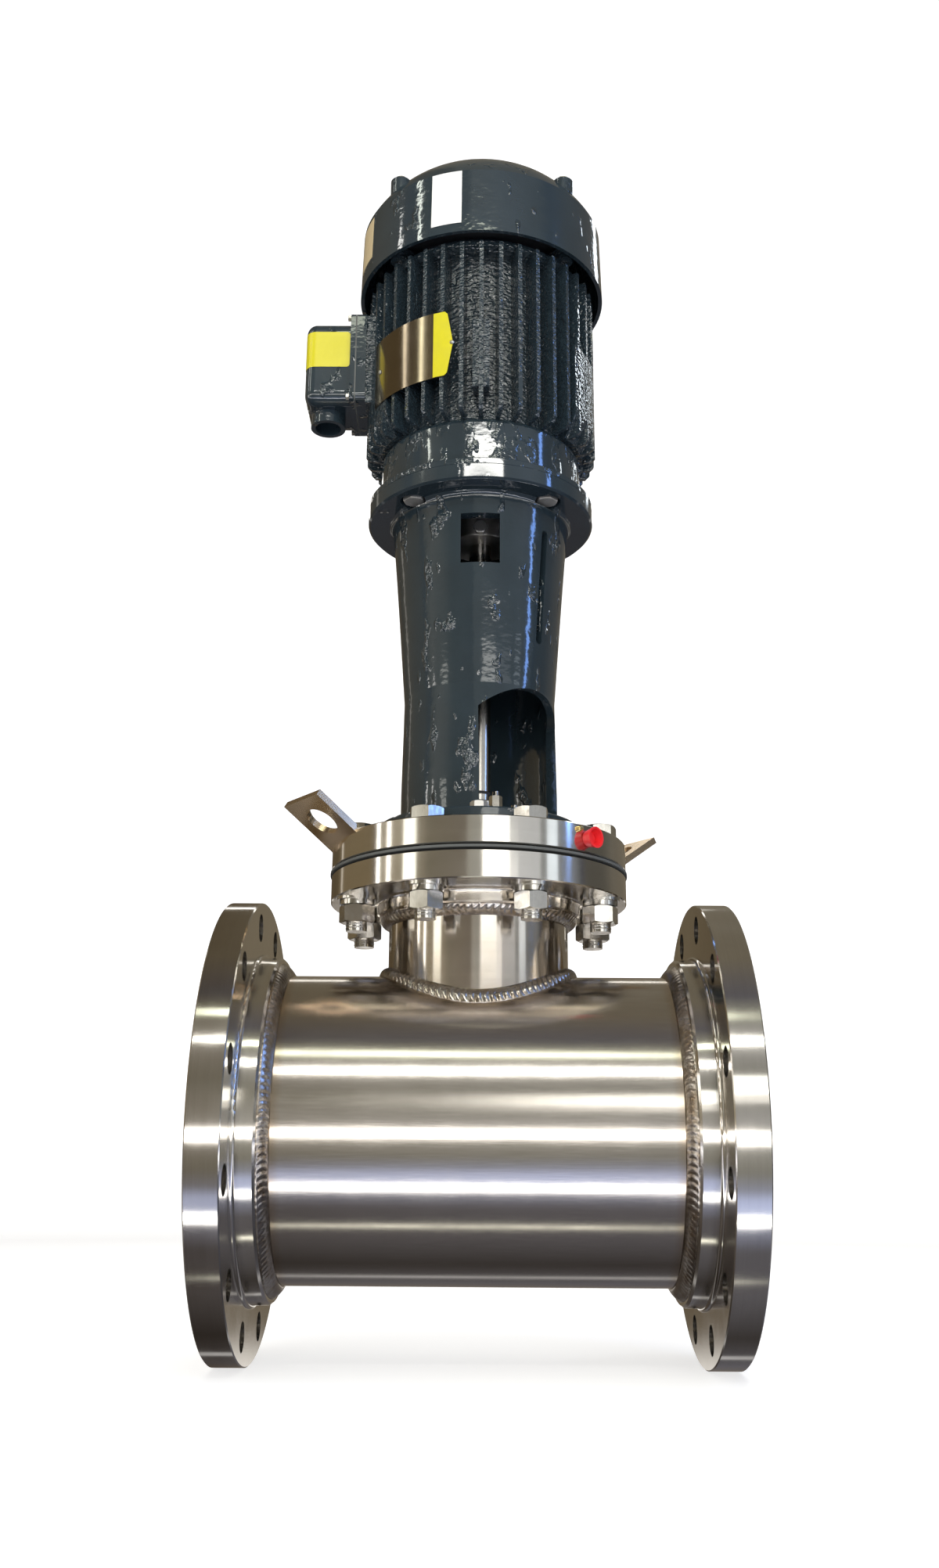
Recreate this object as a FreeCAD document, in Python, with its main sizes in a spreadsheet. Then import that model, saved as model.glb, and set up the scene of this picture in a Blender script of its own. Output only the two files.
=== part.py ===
import FreeCAD, Part
import Sketcher
import math
import os
import re

doc = FreeCAD.newDocument("inline_mixer")
sheet = doc.addObject("Spreadsheet::Sheet", "dims")

# Driving sizes in millimetres and degrees. Heights are above the run's centreline.
SIZES = [
    ("face_to_face", 457.2),
    ("run_od", 273.05),
    ("run_wall", 4.19),
    ("run_setback", 9.5),
    ("run_flange_od", 406.4),
    ("run_flange_thick", 30.2),
    ("raised_face", 1.6),
    ("run_face_dia", 323.8),
    ("run_hub_dia", 304.8),
    ("run_hub_length", 49.2),
    ("run_bore_play", 3.15),
    ("run_bolt_circle", 361.95),
    ("run_bolt_hole", 25.4),
    ("run_bolt_count", 12),
    ("weld_leg", 9.5),
    ("nozzle_od", 168.28),
    ("nozzle_wall", 3.4),
    ("nozzle_setback", 6.0),
    ("saddle_leg", 8.5),
    ("branch_od", 279.4),
    ("branch_bore_play", 2.42),
    ("branch_hub_dia", 192.1),
    ("branch_hub_length", 39.7),
    ("branch_thick", 27.0),
    ("branch_face_dia", 215.9),
    ("branch_face_z", 230.6),
    ("branch_bolt_circle", 241.3),
    ("branch_bolt_play", 3.15),
    ("branch_bolt_count", 8),
    ("hub_fillet", 3.0),
    ("rim_break", 1.0),
    ("gasket_thick", 2.2),
    ("gasket_proud", 1.2),
    ("mount_thick", 25.4),
    ("throat_play", 2.4),
    ("chamber_r", 26.0),
    ("chamber_deep", 23.8),
    ("port_az", 44.0),
    ("port_up", 12.7),
    ("port_drill_dia", 8.0),
    ("port_dia", 13.8),
    ("port_depth", 16.0),
    ("vent_az", 39.5),
    ("vent_up", 20.2),
    ("vent_dia", 4.0),
    ("vent_depth", 8.0),
    ("vent_head_dia", 6.2),
    ("stud_dia", 19.05),
    ("stud_hex", 28.58),
    ("stud_head", 11.9),
    ("stud_tip", 7.5),
    ("washer_od", 36.5),
    ("washer_play", 1.55),
    ("washer_thick", 3.0),
    ("lock_od", 32.2),
    ("lock_play", 0.65),
    ("lock_thick", 4.8),
    ("lock_gap", 2.0),
    ("nut_thick", 16.3),
    ("lug_width", 57.0),
    ("lug_reach", 53.0),
    ("lug_root", 18.0),
    ("lug_thick", 6.35),
    ("lug_drop", 2.0),
    ("lug_hole", 31.75),
    ("lug_rise", 33.0),
    ("lug_turn", 52.0),
    ("lug_seat", 64.0),
    ("shaft_dia", 22.2),
    ("shaft_low_z", -82.0),
    ("shaft_gap", 1.0),
    ("groove_up", 53.5),
    ("groove_width", 3.1),
    ("groove_depth", 1.6),
    ("wiper_play", 0.2),
    ("pedestal_tall", 351.2),
    ("pedestal_base_r", 98.0),
    ("pedestal_base_thick", 18.5),
    ("pedestal_low_r", 75.6),
    ("pedestal_root", 3.5),
    ("pedestal_waist_r", 74.0),
    ("pedestal_waist_up", 145.2),
    ("pedestal_mid_r", 79.6),
    ("pedestal_mid_up", 220.2),
    ("pedestal_upper_r", 85.2),
    ("pedestal_upper_up", 290.2),
    ("pedestal_high_r", 88.5),
    ("pedestal_cove", 7.5),
    ("pedestal_bore_low", 66.5),
    ("pedestal_bore_high", 75.5),
    ("pedestal_flange_thick", 15.6),
    ("motor_face_r", 114.3),
    ("spigot_r", 107.95),
    ("spigot_deep", 6.35),
    ("spigot_play", 0.1),
    ("spigot_gap", 0.5),
    ("arch_az", 45.0),
    ("arch_width", 107.0),
    ("arch_spring_up", 121.7),
    ("arch_crown_r", 74.0),
    ("window_width", 37.6),
    ("window_low_up", 263.2),
    ("window_tall", 49.6),
    ("slot_az", 47.0),
    ("slot_width", 8.0),
    ("slot_low_up", 191.2),
    ("slot_long", 116.0),
    ("cap_bolt_circle", 184.15),
    ("cap_bolt_dia", 12.7),
    ("cap_bolt_hex", 19.05),
    ("cap_bolt_head", 7.9),
    ("cap_bolt_bite", 16.5),
    ("cap_bolt_play", 0.4),
    ("cap_bolt_sunk", 7.0),
    ("spot_play", 4.0),
    ("base_screw_circle", 176.0),
    ("base_screw_dia", 9.53),
    ("base_screw_hex", 14.29),
    ("base_screw_head", 5.9),
    ("base_screw_bite", 15.8),
    ("base_screw_play", 0.4),
    ("gland_r", 50.0),
    ("gland_thick", 24.0),
    ("gland_pilot", 4.0),
    ("gland_land", 2.2),
    ("gland_stud_circle", 76.0),
    ("gland_stud_az", 24.4),
    ("gland_stud_dia", 6.35),
    ("gland_stud_bite", 12.0),
    ("gland_stud_play", 0.4),
    ("gland_nut_hex", 11.1),
    ("gland_nut_tall", 20.0),
    ("gland_tip", 4.5),
    ("seat_play", 1.2),
    ("seat_wall", 7.5),
    ("seat_nose", 3.5),
    ("face_tall", 6.4),
    ("face_play", 0.1),
    ("bellows_tall", 8.5),
    ("collar_r", 18.0),
    ("collar_up", 26.4),
    ("collar_tall", 19.8),
    ("collar_hole", 5.0),
    ("sleeve_r", 33.0),
    ("sleeve_down", 35.0),
    ("sleeve_gap", 2.2),
    ("motor_shaft_dia", 28.58),
    ("motor_shaft_back", 60.0),
    ("rotor_shaft_dia", 40.0),
    ("key_width", 6.35),
    ("key_tall", 6.4),
    ("key_deep", 3.4),
    ("key_play", 0.2),
    ("key_back", 0.8),
    ("key_start", 1.5),
    ("clamp_dia", 8.0),
    ("clamp_hex", 12.7),
    ("clamp_head", 6.0),
    ("clamp_play", 0.02),
    ("bracket_ring_tall", 6.5),
    ("bracket_tall", 55.0),
    ("bracket_bore_play", 1.0),
    ("bearing_seat_up", 30.0),
    ("bearing_land", 7.0),
    ("bearing_race", 4.4),
    ("bearing_gap", 0.4),
    ("bearing_recess", 0.6),
    ("drive_bearing_bore", 30.0),
    ("drive_bearing_od", 62.0),
    ("drive_bearing_wide", 16.0),
    ("fan_bearing_bore", 25.0),
    ("fan_bearing_od", 52.0),
    ("fan_bearing_wide", 15.0),
    ("fan_seat_up", 6.0),
    ("neck_r", 102.0),
    ("frame_bore", 93.0),
    ("frame_skin_r", 98.0),
    ("frame_long", 196.0),
    ("fin_tip_r", 118.6),
    ("fin_thick", 4.2),
    ("fin_count", 38),
    ("foot_az", 68.0),
    ("foot_span", 30.0),
    ("foot_tall", 105.0),
    ("foot_tip_r", 105.0),
    ("foot_rise", 26.0),
    ("land_span", 8.2),
    ("land_up", 26.0),
    ("land_tall", 75.0),
    ("land_sunk", 2.0),
    ("core_bore", 56.0),
    ("core_up", 50.0),
    ("core_long", 112.0),
    ("air_gap", 0.5),
    ("coil_thick", 24.0),
    ("cover_lap", 3.5),
    ("cover_low_r", 129.4),
    ("cover_high_r", 127.4),
    ("cover_shoulder_up", 72.5),
    ("cover_tall", 140.1),
    ("cover_dome_r", 125.6),
    ("cover_top_r", 16.0),
    ("cover_skin", 4.0),
    ("air_inner_r", 36.0),
    ("air_outer_r", 78.0),
    ("air_wide", 9.5),
    ("air_count", 12),
    ("ear_inset", 11.4),
    ("ear_az", 49.0),
    ("ear_r", 10.5),
    ("ear_up", 104.5),
    ("ear_tall", 22.0),
    ("boss_r", 9.0),
    ("boss_tall", 12.0),
    ("cover_screw_dia", 6.0),
    ("cover_screw_hex", 11.0),
    ("cover_screw_head", 5.0),
    ("cover_screw_play", 0.4),
    ("fan_r", 96.0),
    ("fan_up", 26.0),
    ("fan_tall", 30.0),
    ("fan_seat_dia", 22.0),
    ("fan_hub_r", 22.0),
    ("vane_thick", 3.0),
    ("vane_count", 8),
    ("wire_way_dia", 28.0),
    ("box_inner_x", 119.0),
    ("box_base_thick", 10.0),
    ("box_gasket", 1.5),
    ("box_rim_thick", 5.0),
    ("box_deep", 63.5),
    ("box_half_y", 34.0),
    ("box_up", 59.0),
    ("box_tall", 94.0),
    ("box_rim_over", 6.5),
    ("box_rim_under", 1.0),
    ("box_round", 12.0),
    ("box_skin", 4.0),
    ("box_screw_in", 4.5),
    ("box_screw_dia", 4.0),
    ("box_screw_hex", 6.0),
    ("box_screw_head", 3.4),
    ("box_screw_bite", 8.0),
    ("box_screw_play", 0.4),
    ("pad_edge", 4.0),
    ("box_label_down", 7.0),
    ("box_label_in", 13.0),
    ("box_label_long", 46.3),
    ("box_label_corner", 3.5),
    ("entry_out", 41.0),
    ("entry_dia", 26.7),
    ("entry_wall", 4.65),
    ("entry_hub_tall", 13.0),
    ("plate_play", 0.05),
    ("plate_thick", 0.9),
    ("plate_up", 38.5),
    ("plate_tall", 72.0),
    ("plate_az_low", 15.6),
    ("plate_az_high", 64.0),
    ("rivet_dia", 2.4),
    ("rivet_head_dia", 4.6),
    ("rivet_play", 0.1),
    ("sticker_thick", 0.3),
    ("sticker_play", 0.02),
    ("impeller_r", 66.0),
    ("impeller_hub_r", 21.0),
    ("impeller_hub_tall", 34.0),
    ("blade_wide", 36.0),
    ("blade_thick", 4.0),
    ("blade_pitch", 40.0),
    ("blade_count", 4),
    ("peg_dia", 8.0),
    ("peg_az", 45.0),
    ("low_impeller_z", -52.0),
    ("high_impeller_z", 48.0),
]

# Sizes that follow from the ones above: bores from what passes, heights from what each piece stands on.
FOLLOWING = [
    ("run_bore", "run_od + run_bore_play"),
    ("branch_bore", "nozzle_od + branch_bore_play"),
    ("branch_bolt_hole", "stud_dia + branch_bolt_play"),
    ("branch_rim_z", "branch_face_z - branch_thick"),
    ("branch_hub_z", "branch_face_z - branch_hub_length"),
    ("nozzle_top", "branch_face_z - nozzle_setback"),
    ("mount_rim_z", "branch_face_z + gasket_thick + raised_face"),
    ("mount_top_z", "mount_rim_z + mount_thick"),
    ("throat_r", "shaft_dia / 2 + throat_play"),
    ("chamber_z", "mount_top_z - chamber_deep"),
    ("port_z", "mount_rim_z + port_up"),
    ("vent_z", "mount_rim_z + vent_up"),
    ("washer_id", "stud_dia + washer_play"),
    ("lock_id", "stud_dia + lock_play"),
    ("stud_end_z", "branch_rim_z - washer_thick - lock_thick - nut_thick - stud_tip"),
    ("groove_z", "mount_top_z + groove_up"),
    ("motor_face_z", "mount_top_z + pedestal_tall"),
    ("pedestal_waist_z", "mount_top_z + pedestal_waist_up"),
    ("pedestal_mid_z", "mount_top_z + pedestal_mid_up"),
    ("pedestal_upper_z", "mount_top_z + pedestal_upper_up"),
    ("pedestal_flange_z", "motor_face_z - pedestal_flange_thick"),
    ("pedestal_high_z", "pedestal_flange_z - pedestal_cove"),
    ("arch_spring_z", "mount_top_z + arch_spring_up"),
    ("window_low_z", "mount_top_z + window_low_up"),
    ("window_high_z", "window_low_z + window_tall"),
    ("slot_low_z", "mount_top_z + slot_low_up"),
    ("slot_high_z", "slot_low_z + slot_long"),
    ("cap_seat_z", "pedestal_flange_z + cap_bolt_sunk"),
    ("cap_bolt_reach", "motor_face_z + cap_bolt_bite"),
    ("base_screw_low_z", "mount_top_z - base_screw_bite"),
    ("collar_low_z", "mount_top_z + collar_up"),
    ("sleeve_low_z", "motor_face_z - sleeve_down"),
    ("sleeve_high_z", "motor_face_z - spigot_deep - sleeve_gap"),
    ("shaft_top_z", "(sleeve_low_z + sleeve_high_z - shaft_gap) / 2"),
    ("motor_shaft_low_z", "shaft_top_z + shaft_gap"),
    ("clamp_z", "(sleeve_low_z + shaft_top_z) / 2"),
    ("grip_z", "(motor_shaft_low_z + sleeve_high_z) / 2"),
    ("key_high_z", "sleeve_high_z - key_back"),
    ("drive_seat_z", "motor_face_z + bearing_seat_up"),
    ("shell_low_z", "motor_face_z + bracket_tall"),
    ("frame_top_z", "shell_low_z + frame_long"),
    ("fan_seat_z", "frame_top_z + fan_seat_up"),
    ("motor_shaft_high_z", "frame_top_z + motor_shaft_back"),
    ("core_low_z", "shell_low_z + core_up"),
    ("core_high_z", "core_low_z + core_long"),
    ("cover_low_z", "frame_top_z - cover_lap"),
    ("cover_shoulder_z", "cover_low_z + cover_shoulder_up"),
    ("cover_top_z", "cover_low_z + cover_tall"),
    ("ear_top_z", "cover_low_z + ear_up"),
    ("ear_seat_z", "ear_top_z - cover_screw_head"),
    ("ear_circle", "2 * (cover_high_r - cover_skin - ear_inset)"),
    ("fan_low_z", "frame_top_z + fan_up"),
    ("box_low_z", "shell_low_z + box_up"),
    ("box_high_z", "box_low_z + box_tall"),
    ("box_middle_z", "(box_low_z + box_high_z) / 2"),
    ("box_soft", "box_round * 0.9"),
    ("box_outer_x", "box_inner_x + box_deep"),
    ("entry_x", "box_inner_x + entry_out"),
    ("entry_hub_dia", "entry_dia + 2 * entry_wall"),
    ("plate_r", "fin_tip_r + plate_play"),
    ("plate_low_z", "shell_low_z + plate_up"),
    ("plate_high_z", "plate_low_z + plate_tall"),
]
for number, (alias, amount) in enumerate(SIZES + FOLLOWING):
    sheet.set("A%d" % (number + 1), alias)
    sheet.set("B%d" % (number + 1), "=" + amount if isinstance(amount, str) else str(amount))
    sheet.setAlias("B%d" % (number + 1), alias)
doc.recompute()
NAMES = set(alias for alias, amount in SIZES + FOLLOWING)
NODES = []
TURN = FreeCAD.Rotation
UP = FreeCAD.Vector(0, 0, 1)


def bound(text):
    """The expression with each size's name led by the sheet's name."""
    return re.sub(r"[a-z][a-z_]+", lambda m: "dims." + m.group() if m.group() in NAMES else m.group(), text)


def number_of(text):
    """The expression's value, worked out in a spare cell of the sheet."""
    sheet.set("D1", "=" + text)
    sheet.recompute()
    return float(sheet.get("D1"))


def tie(item, prop, text):
    item.setExpression(prop, bound(str(text)))


def axis_of(body, role):
    for feature in body.Origin.OriginFeatures:
        if feature.Role == role:
            return feature


def body_named(label):
    body = doc.addObject("PartDesign::Body", label)
    body.Label = label
    return body


def sketch_on(body, name, role, lift=None, turn=None):
    """A sketch on one of the body's own planes, lifted along or turned about the plane's axes."""
    sketch = body.newObject("Sketcher::SketchObject", name)
    sketch.AttachmentSupport = [(axis_of(body, role), "")]
    sketch.MapMode = "FlatFace"
    if turn is not None:
        spin = FreeCAD.Vector(0, 1, 0) if role == "XZ_Plane" else UP
        sketch.AttachmentOffset = FreeCAD.Placement(FreeCAD.Vector(0, 0, 0), TURN(spin, 1))
        tie(sketch, ".AttachmentOffset.Rotation.Angle", turn)
    if lift is not None and turn is not None:
        tie(sketch, ".AttachmentOffset.Base.x", "(%s) * sin(%s)" % (lift, turn))
        tie(sketch, ".AttachmentOffset.Base.z", "(%s) * cos(%s)" % (lift, turn))
    elif lift is not None:
        tie(sketch, ".AttachmentOffset.Base.z", lift)
    return sketch


def hold(sketch, geo, spot, x, y, xv, yv):
    """Hold one vertex at x, y by two dimensions read from the sheet."""
    first = sketch.addConstraint(Sketcher.Constraint("DistanceX", -1, 1, geo, spot, xv))
    tie(sketch, "Constraints[%d]" % first, x)
    second = sketch.addConstraint(Sketcher.Constraint("DistanceY", -1, 1, geo, spot, yv))
    tie(sketch, "Constraints[%d]" % second, y)


def outline(sketch, points, arcs=None):
    """A closed outline. An edge named in arcs is an arc of that radius, positive when it turns left."""
    arcs = arcs or {}
    count = len(points)
    spots = [FreeCAD.Vector(number_of(x), number_of(y), 0) for x, y in points]
    first = len(sketch.Geometry)
    ends = []
    for i in range(count):
        a = spots[i]
        b = spots[(i + 1) % count]
        if i not in arcs:
            sketch.addGeometry(Part.LineSegment(a, b), False)
            ends.append((1, 2))
            continue
        text = arcs[i].lstrip("-")
        radius = number_of(text)
        left = not arcs[i].startswith("-")
        mid = (a + b) * 0.5
        half = (b - a).Length / 2
        rise = math.sqrt(max(radius * radius - half * half, 0.0))
        side = FreeCAD.Vector(-(b - a).y, (b - a).x, 0).normalize() * (rise if left else -rise)
        centre = mid + side
        start, end = (a, b) if left else (b, a)
        low = math.atan2(start.y - centre.y, start.x - centre.x)
        high = math.atan2(end.y - centre.y, end.x - centre.x)
        circle = Part.Circle(centre, UP, radius)
        sketch.addGeometry(Part.ArcOfCircle(circle, low, high), False)
        ends.append((1, 2) if left else (2, 1))
    for i in range(count):
        after = (i + 1) % count
        sketch.addConstraint(
            Sketcher.Constraint("Coincident", first + i, ends[i][1], first + after, ends[after][0])
        )
    for i, (x, y) in enumerate(points):
        hold(sketch, first + i, ends[i][0], x, y, spots[i].x, spots[i].y)
    for i in sorted(arcs):
        text = arcs[i].lstrip("-")
        rule = sketch.addConstraint(Sketcher.Constraint("Radius", first + i, number_of(text)))
        tie(sketch, "Constraints[%d]" % rule, text)


def ring(sketch, x, y, radius):
    """A circle held by its centre and radius."""
    cx = number_of(x)
    cy = number_of(y)
    size = number_of(radius)
    geo = sketch.addGeometry(Part.Circle(FreeCAD.Vector(cx, cy, 0), UP, size), False)
    hold(sketch, geo, 3, x, y, cx, cy)
    rule = sketch.addConstraint(Sketcher.Constraint("Radius", geo, size))
    tie(sketch, "Constraints[%d]" % rule, radius)


def feature(body, kind, name, sketch, **options):
    item = body.newObject("PartDesign::" + kind, name)
    item.Profile = sketch
    for key, value in options.items():
        if isinstance(value, str) and key in ("Length", "Length2", "Angle", "TaperAngle"):
            tie(item, key, value)
        else:
            setattr(item, key, value)
    sketch.Visibility = False
    body.Tip = item
    return item


def turned(body, name, points, axis="Z_Axis", arcs=None, kind="Revolution", start=None, sweep=None):
    """A solid of revolution, or a groove, whose outline is radius and height."""
    sketch = sketch_on(body, name + "_sketch", "XZ_Plane", turn=start)
    outline(sketch, points, arcs)
    item = feature(body, kind, name, sketch)
    item.ReferenceAxis = (axis_of(body, axis), [""])
    if sweep is None:
        item.Angle = 360
    else:
        tie(item, "Angle", sweep)
    return item


def round_pattern(body, name, items, count, axis="Z_Axis"):
    pattern = body.newObject("PartDesign::PolarPattern", name)
    pattern.Originals = items
    pattern.Axis = (axis_of(body, axis), [""])
    pattern.Angle = 360
    tie(pattern, "Occurrences", count)
    body.Tip = pattern
    return pattern


def keep(item, label, along="face_to_face / 2", across=None, high=None, turn=None):
    """Name a finished piece, place it in the part's frame and list it for export."""
    item.Label = label
    if turn is not None:
        item.Placement = FreeCAD.Placement(FreeCAD.Vector(0, 0, 0), turn)
    tie(item, ".Placement.Base.x", along)
    if across is not None:
        tie(item, ".Placement.Base.y", across)
    if high is not None:
        tie(item, ".Placement.Base.z", high)
    NODES.append((label, item))
    return item


def facing(azimuth):
    """The turn that points +z outwards at this azimuth, which is 0 at the front and 90 at +x."""
    return TURN(UP, azimuth).multiply(TURN(FreeCAD.Vector(1, 0, 0), 90))


def solid(kind, name, sizes, spot=None, turn=None):
    """A Part primitive with every size, and its place, read from the sheet."""
    item = doc.addObject("Part::" + kind, name)
    for key, text in sizes.items():
        tie(item, key, text)
    if turn is not None:
        item.Placement = FreeCAD.Placement(FreeCAD.Vector(0, 0, 0), turn)
    for letter, text in (spot or {}).items():
        tie(item, ".Placement.Base." + letter, text)
    return item


def joined(name, items):
    fused = doc.addObject("Part::MultiFuse", name)
    fused.Shapes = items
    return fused


def less(name, base, tool):
    cut = doc.addObject("Part::Cut", name)
    cut.Base = base
    cut.Tool = tool
    return cut


def overlap(name, base, tool):
    common = doc.addObject("Part::Common", name)
    common.Base = base
    common.Tool = tool
    return common


def hex_block(name, across, tall, low="0 * face_to_face", both=False):
    """A hexagon with its corners turned down at the top, or at both ends."""
    prism = doc.addObject("Part::Prism", name + "_prism")
    prism.Polygon = 6
    tie(prism, "Circumradius", "%s / sqrt(3)" % across)
    tie(prism, "Height", tall)
    tie(prism, ".Placement.Base.z", low)
    reach = "(%s) * 1.732" % tall
    top = solid("Cone", name + "_crown", {
        "Radius1": "%s * 0.485 + %s" % (across, reach),
        "Radius2": "%s * 0.485" % across,
        "Height": tall,
    }, {"z": low})
    block = overlap(name + "_top", prism, top)
    if not both:
        return block
    foot = solid("Cone", name + "_foot", {
        "Radius1": "%s * 0.485" % across,
        "Radius2": "%s * 0.485 + %s" % (across, reach),
        "Height": tall,
    }, {"z": low})
    return overlap(name + "_both", block, foot)


def hex_bolt(name, across, head, thick, reach):
    """A hex bolt seated on z = 0 with its head up and its shank down."""
    shank = solid("Cylinder", name + "_shank", {"Radius": "%s / 2" % thick, "Height": reach},
                  {"z": "-(%s)" % reach})
    return joined(name, [hex_block(name + "_head", across, head), shank])


def spread(label, item, places):
    """Copies of one piece as separate solids. A place is x, y, z and a turn."""
    links = []
    for i, (x, y, z, turn) in enumerate(places):
        link = doc.addObject("App::Link", "%s_%d" % (label, i + 1))
        link.LinkedObject = item
        link.LinkTransform = True
        link.Placement = FreeCAD.Placement(FreeCAD.Vector(0, 0, 0), turn)
        tie(link, ".Placement.Base.x", x)
        tie(link, ".Placement.Base.y", y)
        tie(link, ".Placement.Base.z", z)
        links.append(link)
    group = doc.addObject("Part::Compound", label)
    group.Links = links
    return group


def ear_ring(sketch, turn, radius):
    """A circle in one of the fan cover's ears."""
    ring(sketch, "ear_circle / 2 * sin(%s)" % turn, "-ear_circle / 2 * cos(%s)" % turn, radius)


def tongue(sketch, turn, root, reach, half):
    """A strip that runs out from a radius at this azimuth and ends round past its reach."""
    corners = []
    for far, side in ((root, "-"), (reach, "-"), (reach, "+"), (root, "+")):
        corners.append(("%s * sin(%s) %s %s * cos(%s)" % (far, turn, side, half, turn),
                        "-%s * cos(%s) %s %s * sin(%s)" % (far, turn, side, half, turn)))
    outline(sketch, corners, arcs={1: half + " + 0.001"})


def circle_places(radius, azimuths, high, turn=None, swing=True):
    """Places on a circle about the shaft's axis at these azimuths."""
    places = []
    for azimuth in azimuths:
        spin = TURN(UP, azimuth if swing else 0)
        if turn is not None:
            spin = spin.multiply(turn)
        places.append((
            "(%s) * sin(%s)" % (radius, azimuth),
            "-(%s) * cos(%s)" % (radius, azimuth),
            high,
            spin,
        ))
    return places


FLAT = TURN(UP, 0)
OVER = TURN(FreeCAD.Vector(1, 0, 0), 180)
OUT = TURN(FreeCAD.Vector(1, 0, 0), 90)
ZERO = "0 * face_to_face"
STUDS = int(round(number_of("branch_bolt_count")))
EIGHT = [(i + 0.5) * 360 / STUDS for i in range(STUDS)]
EAR_TURNS = ("ear_az", "180 - ear_az", "180 + ear_az", "-ear_az")
FOUR = [90 * i for i in range(4)]


# Run flanges, with the face at x = 0 and the hub towards +x.
for label, along, turn in (("inlet_flange", ZERO, 0), ("outlet_flange", "face_to_face", 180)):
    body = body_named(label)
    turned(body, label + "_blank", [
        ("0", "run_bore / 2"),
        ("run_hub_length", "run_bore / 2"),
        ("run_hub_length", "run_hub_dia / 2 - 2"),
        ("run_hub_length - 2", "run_hub_dia / 2"),
        ("run_flange_thick + hub_fillet", "run_hub_dia / 2 + 0.5"),
        ("run_flange_thick", "run_hub_dia / 2 + hub_fillet + 0.5"),
        ("run_flange_thick", "run_flange_od / 2 - rim_break"),
        ("run_flange_thick - rim_break", "run_flange_od / 2"),
        ("raised_face + rim_break", "run_flange_od / 2"),
        ("raised_face", "run_flange_od / 2 - rim_break"),
        ("raised_face", "run_face_dia / 2"),
        ("0", "run_face_dia / 2"),
    ], axis="X_Axis", arcs={4: "hub_fillet"})
    drill = sketch_on(body, label + "_drill_sketch", "YZ_Plane")
    ring(drill, "run_bolt_circle / 2 * cos(180 / run_bolt_count)",
         "run_bolt_circle / 2 * sin(180 / run_bolt_count)", "run_bolt_hole / 2")
    hole = feature(body, "Pocket", label + "_drill", drill, Length="run_flange_thick + 20", Reversed=True)
    round_pattern(body, label + "_drills", [hole], "run_bolt_count", axis="X_Axis")
    keep(body, label, along, turn=TURN(UP, turn))

# Run pipe with the branch opening.
body = body_named("run_pipe")
turned(body, "run_tube", [
    ("-(face_to_face / 2 - run_setback)", "run_od / 2 - run_wall"),
    ("face_to_face / 2 - run_setback", "run_od / 2 - run_wall"),
    ("face_to_face / 2 - run_setback", "run_od / 2"),
    ("-(face_to_face / 2 - run_setback)", "run_od / 2"),
], axis="X_Axis")
mouth = sketch_on(body, "run_mouth_sketch", "XY_Plane")
ring(mouth, ZERO, ZERO, "nozzle_od / 2 - nozzle_wall")
feature(body, "Pocket", "run_mouth", mouth, Length="run_od", Reversed=True)
keep(body, "run_pipe")

# Fillet welds of the run flanges, one outside each hub and one inside each face.
hub_bead = body_named("hub_bead")
turned(hub_bead, "hub_bead_turn", [
    ("run_hub_length", "run_od / 2"),
    ("run_hub_length + weld_leg", "run_od / 2"),
    ("run_hub_length + weld_leg * 0.8", "run_od / 2 + 3.6"),
    ("run_hub_length + weld_leg * 0.42", "run_od / 2 + 8.2"),
    ("run_hub_length", "run_od / 2 + 11.4"),
], axis="X_Axis")
face_bead = body_named("face_bead")
turned(face_bead, "face_bead_turn", [
    ("run_setback", "run_od / 2 - run_wall + 1"),
    ("run_setback", "run_bore / 2"),
    ("run_setback - 6", "run_bore / 2"),
    ("run_setback - 4", "run_bore / 2 - 2.8"),
], axis="X_Axis")
ends = [(ZERO, ZERO, ZERO, FLAT), ("face_to_face", ZERO, ZERO, TURN(UP, 180))]
beads = doc.addObject("Part::Compound", "run_flange_welds")
beads.Links = [spread("hub_beads", hub_bead, ends), spread("face_beads", face_bead, ends)]
keep(beads, "run_flange_welds", ZERO)

# Branch nozzle, coped to the run.
body = body_named("branch_nozzle")
turned(body, "nozzle_tube", [
    ("nozzle_od / 2 - nozzle_wall", "run_od / 4"),
    ("nozzle_od / 2", "run_od / 4"),
    ("nozzle_od / 2", "nozzle_top"),
    ("nozzle_od / 2 - nozzle_wall", "nozzle_top"),
])
cope = sketch_on(body, "nozzle_cope_sketch", "YZ_Plane")
ring(cope, ZERO, ZERO, "run_od / 2")
feature(body, "Pocket", "nozzle_cope", cope, Length="nozzle_od * 1.5", Midplane=True)
keep(body, "branch_nozzle")

# Saddle weld: the flat fillet left by a chamfer on the seam of run and nozzle.
seam_run = solid("Cylinder", "seam_run", {"Radius": "run_od / 2", "Height": "nozzle_od * 1.8"},
                 {"x": "-nozzle_od * 0.9"}, TURN(FreeCAD.Vector(0, 1, 0), 90))
seam_nozzle = solid("Cylinder", "seam_nozzle", {"Radius": "nozzle_od / 2", "Height": "nozzle_top - 30"})
seam = joined("seam_pair", [seam_run, seam_nozzle])
doc.recompute()
leg = number_of("saddle_leg")
on_run = number_of("run_od / 2")
on_nozzle = number_of("nozzle_od / 2")
edges = []
for i, edge in enumerate(seam.Shape.Edges):
    spots = edge.discretize(7)
    near = [abs(math.hypot(p.x, p.y) - on_nozzle) + abs(math.hypot(p.y, p.z) - on_run) for p in spots]
    if max(near) < 0.05:
        edges.append((i + 1, leg, leg))
bevel = doc.addObject("Part::Chamfer", "seam_bevel")
bevel.Base = seam
bevel.Edges = edges
keep(less("saddle_weld", bevel, seam), "saddle_weld")

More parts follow.
